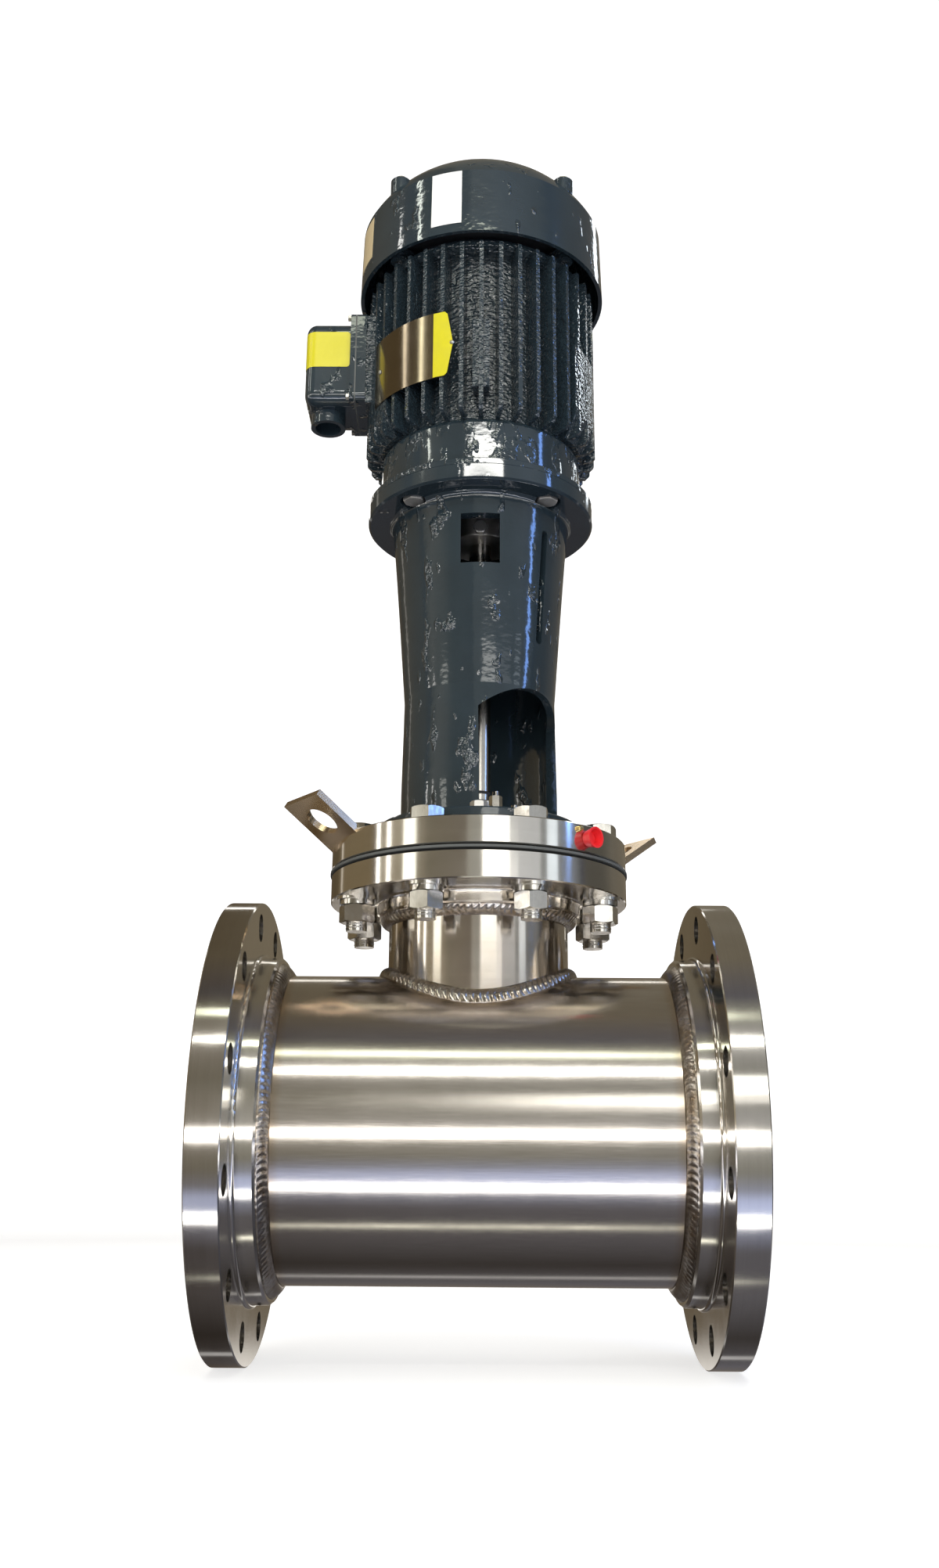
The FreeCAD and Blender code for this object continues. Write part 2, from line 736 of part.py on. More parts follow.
# Branch flange.
body = body_named("branch_flange")
turned(body, "branch_blank", [
    ("branch_bore / 2", "branch_hub_z"),
    ("branch_hub_dia / 2 - 1.5", "branch_hub_z"),
    ("branch_hub_dia / 2", "branch_hub_z + 1.5"),
    ("branch_hub_dia / 2 + 0.5", "branch_rim_z - hub_fillet"),
    ("branch_hub_dia / 2 + hub_fillet + 0.5", "branch_rim_z"),
    ("branch_od / 2 - rim_break", "branch_rim_z"),
    ("branch_od / 2", "branch_rim_z + rim_break"),
    ("branch_od / 2", "branch_face_z - raised_face - rim_break"),
    ("branch_od / 2 - rim_break", "branch_face_z - raised_face"),
    ("branch_face_dia / 2", "branch_face_z - raised_face"),
    ("branch_face_dia / 2", "branch_face_z"),
    ("branch_bore / 2", "branch_face_z"),
], arcs={3: "-hub_fillet"})
drill = sketch_on(body, "branch_drill_sketch", "XY_Plane")
ring(drill, "branch_bolt_circle / 2 * cos(180 / branch_bolt_count)",
     "branch_bolt_circle / 2 * sin(180 / branch_bolt_count)", "branch_bolt_hole / 2")
hole = feature(body, "Pocket", "branch_drill", drill, Length="branch_face_z + 10", Reversed=True)
round_pattern(body, "branch_drills", [hole], "branch_bolt_count")
keep(body, "branch_flange")

# Fillet welds of the branch flange, under the hub and inside the face.
low_bead = body_named("nozzle_low_bead")
turned(low_bead, "nozzle_low_turn", [
    ("nozzle_od / 2", "branch_hub_z"),
    ("nozzle_od / 2", "branch_hub_z - weld_leg"),
    ("nozzle_od / 2 + 3.6", "branch_hub_z - weld_leg * 0.8"),
    ("nozzle_od / 2 + 7.6", "branch_hub_z - weld_leg * 0.4"),
    ("nozzle_od / 2 + 10", "branch_hub_z"),
])
top_bead = body_named("nozzle_top_bead")
turned(top_bead, "nozzle_top_turn", [
    ("nozzle_od / 2 - nozzle_wall + 1", "nozzle_top"),
    ("branch_bore / 2", "nozzle_top"),
    ("branch_bore / 2", "nozzle_top + 5"),
    ("branch_bore / 2 - 2.2", "nozzle_top + 3.4"),
])
beads = doc.addObject("Part::Compound", "nozzle_flange_welds")
beads.Links = [low_bead, top_bead]
keep(beads, "nozzle_flange_welds")

# Full-face gasket, a little proud of the flanges.
body = body_named("flange_gasket")
turned(body, "gasket_ring", [
    ("nozzle_od / 2", "branch_face_z"),
    ("branch_od / 2 + gasket_proud", "branch_face_z"),
    ("branch_od / 2 + gasket_proud", "branch_face_z + gasket_thick"),
    ("nozzle_od / 2", "branch_face_z + gasket_thick"),
])
drill = sketch_on(body, "gasket_drill_sketch", "XY_Plane")
ring(drill, "branch_bolt_circle / 2 * cos(180 / branch_bolt_count)",
     "branch_bolt_circle / 2 * sin(180 / branch_bolt_count)", "branch_bolt_hole / 2")
hole = feature(body, "Pocket", "gasket_drill", drill, Length="branch_face_z + 10", Reversed=True)
round_pattern(body, "gasket_drills", [hole], "branch_bolt_count")
keep(body, "flange_gasket")

# Mounting flange: seal chamber, bolt holes, flush port, vent hole, stud and screw holes.
body = body_named("mounting_flange")
turned(body, "mount_blank", [
    ("throat_r", "mount_rim_z - raised_face"),
    ("branch_face_dia / 2", "mount_rim_z - raised_face"),
    ("branch_face_dia / 2", "mount_rim_z"),
    ("branch_od / 2 - rim_break", "mount_rim_z"),
    ("branch_od / 2", "mount_rim_z + rim_break"),
    ("branch_od / 2", "mount_top_z - rim_break"),
    ("branch_od / 2 - rim_break", "mount_top_z"),
    ("chamber_r", "mount_top_z"),
    ("chamber_r", "chamber_z"),
    ("throat_r", "chamber_z"),
])
drill = sketch_on(body, "mount_drill_sketch", "XY_Plane")
ring(drill, "branch_bolt_circle / 2 * cos(180 / branch_bolt_count)",
     "branch_bolt_circle / 2 * sin(180 / branch_bolt_count)", "branch_bolt_hole / 2")
hole = feature(body, "Pocket", "mount_drill", drill, Length="mount_top_z + 10", Reversed=True)
round_pattern(body, "mount_drills", [hole], "branch_bolt_count")
drill = sketch_on(body, "stud_drill_sketch", "XY_Plane", lift="mount_top_z")
ring(drill, "gland_stud_circle / 2 * sin(gland_stud_az)", "-gland_stud_circle / 2 * cos(gland_stud_az)",
     "gland_stud_dia / 2")
hole = feature(body, "Pocket", "stud_drill", drill, Length="gland_stud_bite")
round_pattern(body, "stud_drills", [hole], "4")
drill = sketch_on(body, "screw_drill_sketch", "XY_Plane", lift="mount_top_z")
ring(drill, "base_screw_circle / 2", ZERO, "base_screw_dia / 2")
hole = feature(body, "Pocket", "screw_drill", drill, Length="mount_top_z - base_screw_low_z")
round_pattern(body, "screw_drills", [hole], "4")
for name, az, high, size, depth in (
    ("port_bore", "port_az", "port_z", "port_dia / 2", "port_depth"),
    ("port_passage", "port_az", "port_z", "port_drill_dia / 2", "branch_od / 2 - chamber_r + 2"),
    ("vent_bore", "vent_az", "vent_z", "vent_dia / 2", "vent_depth"),
):
    drill = sketch_on(body, name + "_sketch", "XZ_Plane", lift="branch_od / 2 + 1", turn=az)
    ring(drill, ZERO, high, size)
    feature(body, "Pocket", name, drill, Length=depth + " + 1")
keep(body, "mounting_flange")

# Lifting lugs: flat plates that rise outwards, coped to the flange's rim.
body = body_named("lug_plate")
face = sketch_on(body, "lug_sketch", "XY_Plane")
outline(face, [
    ("-lug_width / 2", "-lug_root"),
    ("lug_width / 2", "-lug_root"),
    ("lug_width / 2", "lug_reach"),
    ("-lug_width / 2", "lug_reach"),
])
ring(face, ZERO, "lug_reach - lug_width / 2", "lug_hole / 2")
feature(body, "Pad", "lug_pad", face, Length="lug_thick", Midplane=True)
rise = number_of("lug_rise")
places = []
for half in (0, 180):
    seat = "(%d - lug_seat)" % half
    spin = TURN(UP, 180 + half - number_of("lug_turn")).multiply(TURN(FreeCAD.Vector(1, 0, 0), rise))
    across = "branch_od / 2 * sin%s" % seat
    back = "-branch_od / 2 * cos%s" % seat
    places.append((across, back, "mount_top_z - lug_drop", spin))
plates = spread("lug_plates", body, places)
rim = solid("Cylinder", "lug_rim", {"Radius": "branch_od / 2", "Height": "branch_od"},
            {"z": "mount_top_z - branch_od / 2"})
keep(less("lifting_lugs", plates, rim), "lifting_lugs")

# Flange bolts, washers, split lock washers and nuts.
bolt = hex_bolt("stud_bolt", "stud_hex", "stud_head", "stud_dia", "(mount_top_z - stud_end_z)")
circle = "branch_bolt_circle / 2"
keep(spread("flange_bolts", bolt, circle_places(circle, EIGHT, "mount_top_z")), "flange_bolts")
disc = solid("Cylinder", "washer_disc", {"Radius": "washer_od / 2", "Height": "washer_thick"})
core = solid("Cylinder", "washer_core", {"Radius": "washer_id / 2", "Height": "washer_thick"})
washer = less("washer", disc, core)
places = circle_places(circle, EIGHT, "branch_rim_z - washer_thick")
keep(spread("flat_washers", washer, places), "flat_washers")
disc = solid("Cylinder", "lock_disc", {"Radius": "lock_od / 2", "Height": "lock_thick"})
core = solid("Cylinder", "lock_core", {"Radius": "lock_id / 2", "Height": "lock_thick"})
split = solid("Box", "lock_split", {"Length": "lock_gap", "Width": "lock_od", "Height": "lock_thick * 3"},
              {"x": "-1.5 - lock_thick * 0.5", "y": "-lock_od * 1.2", "z": "-lock_thick"},
              TURN(FreeCAD.Vector(0, 1, 0), 25))
lock = less("lock", less("lock_ring", disc, core), split)
seat = "branch_rim_z - washer_thick - lock_thick"
keep(spread("lock_washers", lock, circle_places(circle, EIGHT, seat)), "lock_washers")
block = hex_block("nut_block", "stud_hex", "nut_thick", both=True)
core = solid("Cylinder", "nut_core", {"Radius": "stud_dia / 2", "Height": "nut_thick"})
nut = less("nut", block, core)
keep(spread("flange_nuts", nut, circle_places(circle, EIGHT, seat + " - nut_thick")), "flange_nuts")

# Flush plug and vent screw in the mounting flange's rim.
body = body_named("flush_plug")
turned(body, "plug_turn", [
    ("0", "-port_depth + 1.5"),
    ("port_dia / 2 - 0.7", "-port_depth + 1.5"),
    ("port_dia / 2", "-port_depth + 4"),
    ("port_dia / 2", "0"),
    ("port_dia / 2 + 0.6", "1"),
    ("port_dia / 2 + 2.7", "10"),
    ("port_dia / 2 + 1", "10"),
    ("port_dia / 2 - 0.9", "3"),
    ("0", "3"),
])
az = number_of("port_az")
keep(body, "flush_plug", "face_to_face / 2 + branch_od / 2 * sin(port_az)",
     "-branch_od / 2 * cos(port_az)", "port_z", facing(az))
body = body_named("vent_screw")
turned(body, "vent_turn", [
    ("0", "-(vent_depth - 0.5)"),
    ("vent_dia / 2", "-(vent_depth - 0.5)"),
    ("vent_dia / 2", "0.1"),
    ("vent_head_dia / 2", "0.1"),
    ("vent_head_dia / 2", "2.6"),
    ("vent_head_dia / 2 - 0.8", "3.6"),
    ("0", "3.6"),
])
az = number_of("vent_az")
keep(body, "vent_screw", "face_to_face / 2 + branch_od / 2 * sin(vent_az)",
     "-branch_od / 2 * cos(vent_az)", "vent_z", facing(az))

# Seal: gland plate and its studs, stationary seat, and what turns with the shaft.
body = body_named("seal_gland")
turned(body, "gland_turn", [
    ("throat_r", "mount_top_z + gland_land"),
    ("throat_r", "mount_top_z + gland_thick"),
    ("gland_r - 1.5", "mount_top_z + gland_thick"),
    ("gland_r", "mount_top_z + gland_thick - 1.5"),
    ("gland_r", "mount_top_z"),
    ("chamber_r", "mount_top_z"),
    ("chamber_r", "mount_top_z - gland_pilot"),
    ("throat_r + seat_wall", "mount_top_z - gland_pilot"),
    ("throat_r + seat_wall", "mount_top_z + gland_land"),
])
drill = sketch_on(body, "gland_drill_sketch", "XY_Plane")
ring(drill, "gland_stud_circle / 2 * sin(gland_stud_az)", "-gland_stud_circle / 2 * cos(gland_stud_az)",
     "gland_stud_dia / 2 + gland_stud_play")
hole = feature(body, "Pocket", "gland_drill", drill, Length="mount_top_z + gland_thick + 5", Reversed=True)
round_pattern(body, "gland_drills", [hole], "4")
keep(body, "seal_gland")
body = body_named("seal_seat")
turned(body, "seat_turn", [
    ("shaft_dia / 2 + seat_play", "mount_top_z - gland_pilot - seat_nose"),
    ("throat_r + 5", "mount_top_z - gland_pilot - seat_nose"),
    ("throat_r + 5", "mount_top_z - gland_pilot"),
    ("throat_r + seat_wall", "mount_top_z - gland_pilot"),
    ("throat_r + seat_wall", "mount_top_z + gland_land"),
    ("shaft_dia / 2 + seat_play", "mount_top_z + gland_land"),
])
keep(body, "seal_seat")
stud = solid("Cylinder", "gland_stud", {
    "Radius": "gland_stud_dia / 2",
    "Height": "gland_stud_bite + gland_thick + gland_nut_tall + gland_tip",
})
azimuths = ["gland_stud_az + %d" % (90 * i) for i in range(4)]
spots = []
for text in azimuths:
    spots.append(("gland_stud_circle / 2 * sin(%s)" % text, "-gland_stud_circle / 2 * cos(%s)" % text))
low = "mount_top_z - gland_stud_bite"
keep(spread("gland_studs", stud, [(x, y, low, FLAT) for x, y in spots]), "gland_studs")
block = hex_block("gland_nut_block", "gland_nut_hex", "gland_nut_tall", both=True)
core = solid("Cylinder", "gland_nut_core", {"Radius": "gland_stud_dia / 2", "Height": "gland_nut_tall"})
nut = less("gland_nut", block, core)
low = "mount_top_z + gland_thick"
keep(spread("gland_nuts", nut, [(x, y, low, FLAT) for x, y in spots]), "gland_nuts")
FACE_HIGH = "mount_top_z - gland_pilot - seat_nose - face_play"
FACE_LOW = FACE_HIGH + " - face_tall"
body = body_named("seal_face")
turned(body, "face_turn", [
    ("shaft_dia / 2", FACE_LOW),
    ("throat_r + 6.5", FACE_LOW),
    ("throat_r + 6.5", FACE_LOW + " + 4"),
    ("throat_r + 4.5", FACE_HIGH),
    ("shaft_dia / 2", FACE_HIGH),
])
keep(body, "seal_face")
body = body_named("seal_bellows")
turned(body, "bellows_turn", [
    ("shaft_dia / 2", FACE_LOW + " - bellows_tall"),
    ("throat_r + 6", FACE_LOW + " - bellows_tall"),
    ("throat_r + 2", FACE_LOW + " - bellows_tall * 3 / 4"),
    ("throat_r + 6", FACE_LOW + " - bellows_tall / 2"),
    ("throat_r + 2", FACE_LOW + " - bellows_tall / 4"),
    ("throat_r + 6", FACE_LOW),
    ("shaft_dia / 2", FACE_LOW),
])
keep(body, "seal_bellows")
body = body_named("drive_collar")
turned(body, "collar_turn", [
    ("shaft_dia / 2", "collar_low_z"),
    ("collar_r - 1", "collar_low_z"),
    ("collar_r", "collar_low_z + 1"),
    ("collar_r", "collar_low_z + collar_tall - 1"),
    ("collar_r - 1", "collar_low_z + collar_tall"),
    ("shaft_dia / 2", "collar_low_z + collar_tall"),
])
drill = sketch_on(body, "collar_drill_sketch", "XZ_Plane")
ring(drill, ZERO, "collar_low_z + collar_tall / 2", "collar_hole / 2")
feature(body, "Pocket", "collar_drill", drill, Length="collar_r + 2", Midplane=False, Reversed=True)
keep(body, "drive_collar")

# Pedestal: a cast tube with a waist, arched windows, a small window, a slot and bolt pockets.
body = body_named("pedestal")
base_top = "mount_top_z + pedestal_base_thick"
turned(body, "pedestal_turn", [
    ("pedestal_bore_low", "mount_top_z"),
    ("pedestal_base_r", "mount_top_z"),
    ("pedestal_base_r", base_top + " - 1.5"),
    ("pedestal_base_r - 1.5", base_top),
    ("pedestal_low_r + pedestal_root", base_top),
    ("pedestal_low_r", base_top + " + pedestal_root"),
    ("pedestal_low_r", base_top + " + 34"),
    ("pedestal_waist_r", "pedestal_waist_z"),
    ("pedestal_mid_r", "pedestal_mid_z"),
    ("pedestal_upper_r", "pedestal_upper_z"),
    ("pedestal_high_r", "pedestal_high_z"),
    ("pedestal_high_r + 4", "pedestal_flange_z"),
    ("motor_face_r - 2", "pedestal_flange_z"),
    ("motor_face_r", "pedestal_flange_z + 2"),
    ("motor_face_r", "motor_face_z - 0.3"),
    ("motor_face_r - 0.3", "motor_face_z"),
    ("spigot_r + spigot_play", "motor_face_z"),
    ("spigot_r + spigot_play", "motor_face_z - spigot_deep - spigot_gap"),
    ("pedestal_bore_high", "motor_face_z - spigot_deep - spigot_gap"),
    ("pedestal_bore_high", "pedestal_high_z - 28"),
    ("pedestal_bore_low", "pedestal_waist_z"),
], arcs={4: "-pedestal_root", 10: "-(pedestal_cove + 0.5)"})
arch = sketch_on(body, "arch_sketch", "XZ_Plane", turn="arch_az")
outline(arch, [
    ("-arch_width / 2", base_top),
    ("arch_width / 2", base_top),
    ("arch_width / 2", "arch_spring_z"),
    ("-arch_width / 2", "arch_spring_z"),
], arcs={2: "arch_crown_r"})
feature(body, "Pocket", "arches", arch, Length="pedestal_base_r * 4", Midplane=True)
pane = sketch_on(body, "window_sketch", "XZ_Plane")
outline(pane, [
    ("-window_width / 2", "window_low_z"),
    ("window_width / 2", "window_low_z"),
    ("window_width / 2", "window_high_z"),
    ("-window_width / 2", "window_high_z"),
])
feature(body, "Pocket", "window", pane, Length="pedestal_base_r", Reversed=True)
slit = sketch_on(body, "slot_sketch", "XZ_Plane", turn="slot_az")
outline(slit, [
    ("-slot_width / 2", "slot_low_z + slot_width / 2"),
    ("slot_width / 2", "slot_low_z + slot_width / 2"),
    ("slot_width / 2", "slot_high_z - slot_width / 2"),
    ("-slot_width / 2", "slot_high_z - slot_width / 2"),
], arcs={0: "slot_width / 2 + 0.001", 2: "slot_width / 2 + 0.001"})
feature(body, "Pocket", "slot", slit, Length="pedestal_base_r", Reversed=True)
spot = sketch_on(body, "spot_sketch", "XY_Plane", lift="cap_seat_z")
ring(spot, "cap_bolt_circle / 2 * cos(45)", "cap_bolt_circle / 2 * sin(45)", "cap_bolt_hex / 2 + spot_play")
pocket = feature(body, "Pocket", "spot_face", spot, Length="cap_bolt_head + 3")
round_pattern(body, "spot_faces", [pocket], "4")
drill = sketch_on(body, "cap_drill_sketch", "XY_Plane", lift="cap_seat_z - 1")
ring(drill, "cap_bolt_circle / 2 * cos(45)", "cap_bolt_circle / 2 * sin(45)",
     "cap_bolt_dia / 2 + cap_bolt_play")
hole = feature(body, "Pocket", "cap_drill", drill, Length="pedestal_flange_thick + 10", Reversed=True)
round_pattern(body, "cap_drills", [hole], "4")
drill = sketch_on(body, "base_drill_sketch", "XY_Plane")
ring(drill, "base_screw_circle / 2", ZERO, "base_screw_dia / 2 + base_screw_play")
hole = feature(body, "Pocket", "base_drill", drill, Length=base_top + " + 5", Reversed=True)
round_pattern(body, "base_drills", [hole], "4")
keep(body, "pedestal")
screw = hex_bolt("base_screw", "base_screw_hex", "base_screw_head", "base_screw_dia",
                 "(mount_top_z + pedestal_base_thick - base_screw_low_z)")
keep(spread("base_screws", screw, circle_places("base_screw_circle / 2", FOUR, base_top)), "base_screws")
cap = hex_bolt("cap_bolt", "cap_bolt_hex", "cap_bolt_head", "cap_bolt_dia",
               "(cap_bolt_reach - cap_seat_z)")
corners = [45 + 90 * i for i in range(4)]
seat = circle_places("cap_bolt_circle / 2", corners, "cap_seat_z", OVER)
keep(spread("motor_bolts", cap, seat), "motor_bolts")

# Motor's drive end bracket, with the face, spigot, tapped holes and bearing seat.
body = body_named("drive_end_bracket")
turned(body, "bracket_turn", [
    ("motor_shaft_dia / 2 + bracket_bore_play", "motor_face_z - spigot_deep"),
    ("spigot_r", "motor_face_z - spigot_deep"),
    ("spigot_r", "motor_face_z"),
    ("motor_face_r - 0.3", "motor_face_z"),
    ("motor_face_r", "motor_face_z + 0.3"),
    ("motor_face_r", "motor_face_z + bracket_ring_tall - 1"),
    ("motor_face_r - 1", "motor_face_z + bracket_ring_tall"),
    ("neck_r + 2", "motor_face_z + bracket_ring_tall"),
    ("neck_r", "motor_face_z + bracket_ring_tall + 2"),
    ("neck_r", "shell_low_z - 4"),
    ("neck_r - 1.6", "shell_low_z - 0.8"),
    ("neck_r - 2.6", "shell_low_z"),
    ("frame_bore - 4", "shell_low_z"),
    ("frame_bore - 4", "shell_low_z - 15"),
    ("frame_bore - 15", "motor_face_z + 26"),
    ("drive_bearing_od / 2 + 15", "motor_face_z + 24"),
    ("drive_bearing_od / 2 + 9", "drive_seat_z + drive_bearing_wide"),
    ("drive_bearing_od / 2", "drive_seat_z + drive_bearing_wide"),
    ("drive_bearing_od / 2", "drive_seat_z"),
    ("drive_bearing_od / 2 - bearing_land", "drive_seat_z"),
    ("drive_bearing_od / 2 - bearing_land", "motor_face_z + 24"),
    ("motor_shaft_dia / 2 + bracket_bore_play", "motor_face_z + 24"),
])
drill = sketch_on(body, "bracket_drill_sketch", "XY_Plane", lift="motor_face_z - spigot_deep")
ring(drill, "cap_bolt_circle / 2 * cos(45)", "cap_bolt_circle / 2 * sin(45)", "cap_bolt_dia / 2")
hole = feature(body, "Pocket", "bracket_drill", drill, Reversed=True,
               Length="cap_bolt_reach + 2 - motor_face_z + spigot_deep")
round_pattern(body, "bracket_drills", [hole], "4")
keep(body, "drive_end_bracket")

# Motor frame: shell, cooling fins, terminal pad, feet at the corners and a land at the front.
body = body_named("motor_frame")
turned(body, "frame_turn", [
    ("frame_bore", "shell_low_z"),
    ("frame_skin_r + 0.6", "shell_low_z"),
    ("frame_skin_r", "shell_low_z + 2"),
    ("frame_skin_r", "frame_top_z - 12"),
    ("frame_skin_r + 11", "frame_top_z - 6"),
    ("frame_skin_r + 11", "frame_top_z"),
    ("frame_bore", "frame_top_z"),
])
fin = sketch_on(body, "fin_sketch", "XZ_Plane", turn="180 / fin_count")
outline(fin, [
    ("frame_skin_r - 2", "shell_low_z + 1"),
    ("frame_skin_r + 1.5", "shell_low_z + 1"),
    ("fin_tip_r - 4", "shell_low_z + 2.5"),
    ("fin_tip_r", "shell_low_z + 7"),
    ("fin_tip_r", "frame_top_z - 7"),
    ("frame_skin_r - 2", "frame_top_z - 7"),
])
blade = feature(body, "Pad", "fin", fin, Length="fin_thick", Midplane=True)
round_pattern(body, "fins", [blade], "fin_count")
for i, middle in enumerate(("foot_az", "180 - foot_az", "180 + foot_az", "-foot_az")):
    turned(body, "foot_%d" % (i + 1), [
        ("frame_skin_r - 2", "shell_low_z + 1"),
        ("foot_tip_r", "shell_low_z + 1"),
        ("fin_tip_r - 1.5", "shell_low_z + foot_rise - 4"),
        ("fin_tip_r", "shell_low_z + foot_rise + 3"),
        ("fin_tip_r", "shell_low_z + foot_tall - 4"),
        ("fin_tip_r - 4", "shell_low_z + foot_tall"),
        ("frame_skin_r - 2", "shell_low_z + foot_tall"),
    ], start="%s - foot_span / 2 - 90" % middle, sweep="foot_span")
turned(body, "front_land", [
    ("frame_skin_r - 2", "shell_low_z + land_up"),
    ("fin_tip_r - land_sunk - 1", "shell_low_z + land_up"),
    ("fin_tip_r - land_sunk", "shell_low_z + land_up + 1"),
    ("fin_tip_r - land_sunk", "shell_low_z + land_up + land_tall - 1"),
    ("fin_tip_r - land_sunk - 1", "shell_low_z + land_up + land_tall"),
    ("frame_skin_r - 2", "shell_low_z + land_up + land_tall"),
], start="-land_span / 2 - 90", sweep="land_span")
pad = sketch_on(body, "terminal_pad_sketch", "XZ_Plane", lift="box_inner_x", turn="-90")
outline(pad, [
    ("-box_half_y - pad_edge", "box_low_z - pad_edge"),
    ("box_half_y + pad_edge", "box_low_z - pad_edge"),
    ("box_half_y + pad_edge", "box_high_z + pad_edge"),
    ("-box_half_y - pad_edge", "box_high_z + pad_edge"),
])
feature(body, "Pad", "terminal_pad", pad, Length="box_inner_x - frame_bore * 0.9", Reversed=True)
bore = sketch_on(body, "frame_bore_sketch", "XY_Plane", lift="shell_low_z - 1")
ring(bore, ZERO, ZERO, "frame_bore")
feature(body, "Pocket", "frame_rebore", bore, Length="frame_long + 2", Reversed=True)
way = sketch_on(body, "wire_way_sketch", "XZ_Plane", lift="box_inner_x + 1", turn="-90")
ring(way, ZERO, "box_middle_z", "wire_way_dia / 2")
feature(body, "Pocket", "wire_way", way, Length="box_inner_x - frame_bore + 12")
keep(body, "motor_frame")

# Stator, coil ends and bearings.
body = body_named("stator_core")
turned(body, "stator_turn", [
    ("core_bore", "core_low_z"),
    ("frame_bore", "core_low_z"),
    ("frame_bore", "core_high_z"),
    ("core_bore", "core_high_z"),
])
keep(body, "stator_core")
coil = body_named("coil_end")
turned(coil, "coil_turn", [
    ("core_bore + 5", "0"),
    ("frame_bore - 9", "0"),
    ("frame_bore - 10", "coil_thick - 7"),
    ("frame_bore - 16", "coil_thick"),
    ("core_bore + 12", "coil_thick"),
    ("core_bore + 6", "coil_thick - 7"),
])
ends = [(ZERO, ZERO, "core_high_z", FLAT), (ZERO, ZERO, "core_low_z", OVER)]
keep(spread("stator_windings", coil, ends), "stator_windings")
for label, low in (("drive_bearing", "drive_seat_z"), ("fan_bearing", "fan_seat_z")):
    bore = label + "_bore / 2"
    rim = label + "_od / 2"
    tall = label + "_wide"
    body = body_named(label + "_outer")
    turned(body, label + "_outer_turn", [
        (bore + " + bearing_race + bearing_gap", low + " + bearing_recess"),
        (rim + " - bearing_race", low + " + bearing_recess"),
        (rim + " - bearing_race", low),
        (rim, low),
        (rim, low + " + " + tall),
        (rim + " - bearing_race", low + " + " + tall),
        (rim + " - bearing_race", low + " + " + tall + " - bearing_recess"),
        (bore + " + bearing_race + bearing_gap", low + " + " + tall + " - bearing_recess"),
    ])
    keep(body, label + "_outer")
    body = body_named(label + "_inner")
    turned(body, label + "_inner_turn", [
        (bore, low),
        (bore + " + bearing_race", low),
        (bore + " + bearing_race", low + " + " + tall),
        (bore, low + " + " + tall),
    ])
    keep(body, label + "_inner")

# Fan end bracket with the ears that the cover's screws run into.
body = body_named("fan_end_bracket")
turned(body, "fan_bracket_turn", [
    ("fan_bearing_od / 2 - bearing_land - 2", "frame_top_z"),
    ("frame_skin_r + 2", "frame_top_z"),
    ("frame_skin_r + 2", "frame_top_z + 8"),
    ("fan_bearing_od / 2 + 14", "frame_top_z + 10"),
    ("fan_bearing_od / 2 + 10", "fan_seat_z + fan_bearing_wide"),
    ("fan_bearing_od / 2", "fan_seat_z + fan_bearing_wide"),
    ("fan_bearing_od / 2", "fan_seat_z"),
    ("fan_bearing_od / 2 - bearing_land - 2", "fan_seat_z"),
])
for i, turn in enumerate(EAR_TURNS):
    boss = sketch_on(body, "boss_%d_sketch" % (i + 1), "XY_Plane", lift="frame_top_z")
    tongue(boss, turn, "(frame_skin_r - boss_r)", "ear_circle / 2", "boss_r")
    feature(body, "Pad", "boss_%d" % (i + 1), boss, Length="boss_tall")
    drill = sketch_on(body, "boss_drill_%d_sketch" % (i + 1), "XY_Plane", lift="frame_top_z")
    ear_ring(drill, turn, "cover_screw_dia / 2")
    feature(body, "Pocket", "boss_drill_%d" % (i + 1), drill, Length="boss_tall + 8", Reversed=True)
keep(body, "fan_end_bracket")

# Fan cover: a domed cap with air slots and four ears.
body = body_named("fan_cover")
turned(body, "cover_turn", [
    ("cover_low_r - cover_skin", "cover_low_z"),
    ("cover_low_r", "cover_low_z"),
    ("cover_high_r", "cover_shoulder_z"),
    ("cover_top_r", "cover_top_z"),
    ("0", "cover_top_z"),
    ("0", "cover_top_z - cover_skin"),
    ("cover_top_r", "cover_top_z - cover_skin"),
    ("cover_high_r - cover_skin", "cover_shoulder_z - 0.9"),
], arcs={2: "cover_dome_r", 6: "-(cover_dome_r - cover_skin)"})
air = sketch_on(body, "air_sketch", "XY_Plane")
outline(air, [
    ("air_inner_r", "-air_wide / 2"),
    ("air_outer_r", "-air_wide / 2"),
    ("air_outer_r", "air_wide / 2"),
    ("air_inner_r", "air_wide / 2"),
], arcs={1: "air_wide / 2 + 0.001", 3: "air_wide / 2 + 0.001"})
slot = feature(body, "Pocket", "air_slot", air, Length="cover_top_z + 10", Reversed=True)
round_pattern(body, "air_slots", [slot], "air_count")
for i, turn in enumerate(EAR_TURNS):
    ear = sketch_on(body, "ear_%d_sketch" % (i + 1), "XY_Plane", lift="ear_seat_z - ear_tall")
    ear_ring(ear, turn, "ear_r")
    feature(body, "Pad", "ear_%d" % (i + 1), ear, Length="ear_tall")
    drill = sketch_on(body, "ear_drill_%d_sketch" % (i + 1), "XY_Plane", lift="ear_seat_z - ear_tall - 8")
    ear_ring(drill, turn, "cover_screw_dia / 2 + cover_screw_play")
    feature(body, "Pocket", "ear_drill_%d" % (i + 1), drill, Length="ear_tall + 25", Reversed=True)
    room = sketch_on(body, "ear_room_%d_sketch" % (i + 1), "XY_Plane", lift="ear_seat_z")
    ear_ring(room, turn, "cover_screw_hex / 2 / cos(30) + cover_screw_play")
    feature(body, "Pocket", "ear_room_%d" % (i + 1), room, Length="cover_screw_head + 4", Reversed=True)
keep(body, "fan_cover")
screw = hex_bolt("cover_screw", "cover_screw_hex", "cover_screw_head", "cover_screw_dia",
                 "(ear_seat_z - frame_top_z - 1)")
places = []
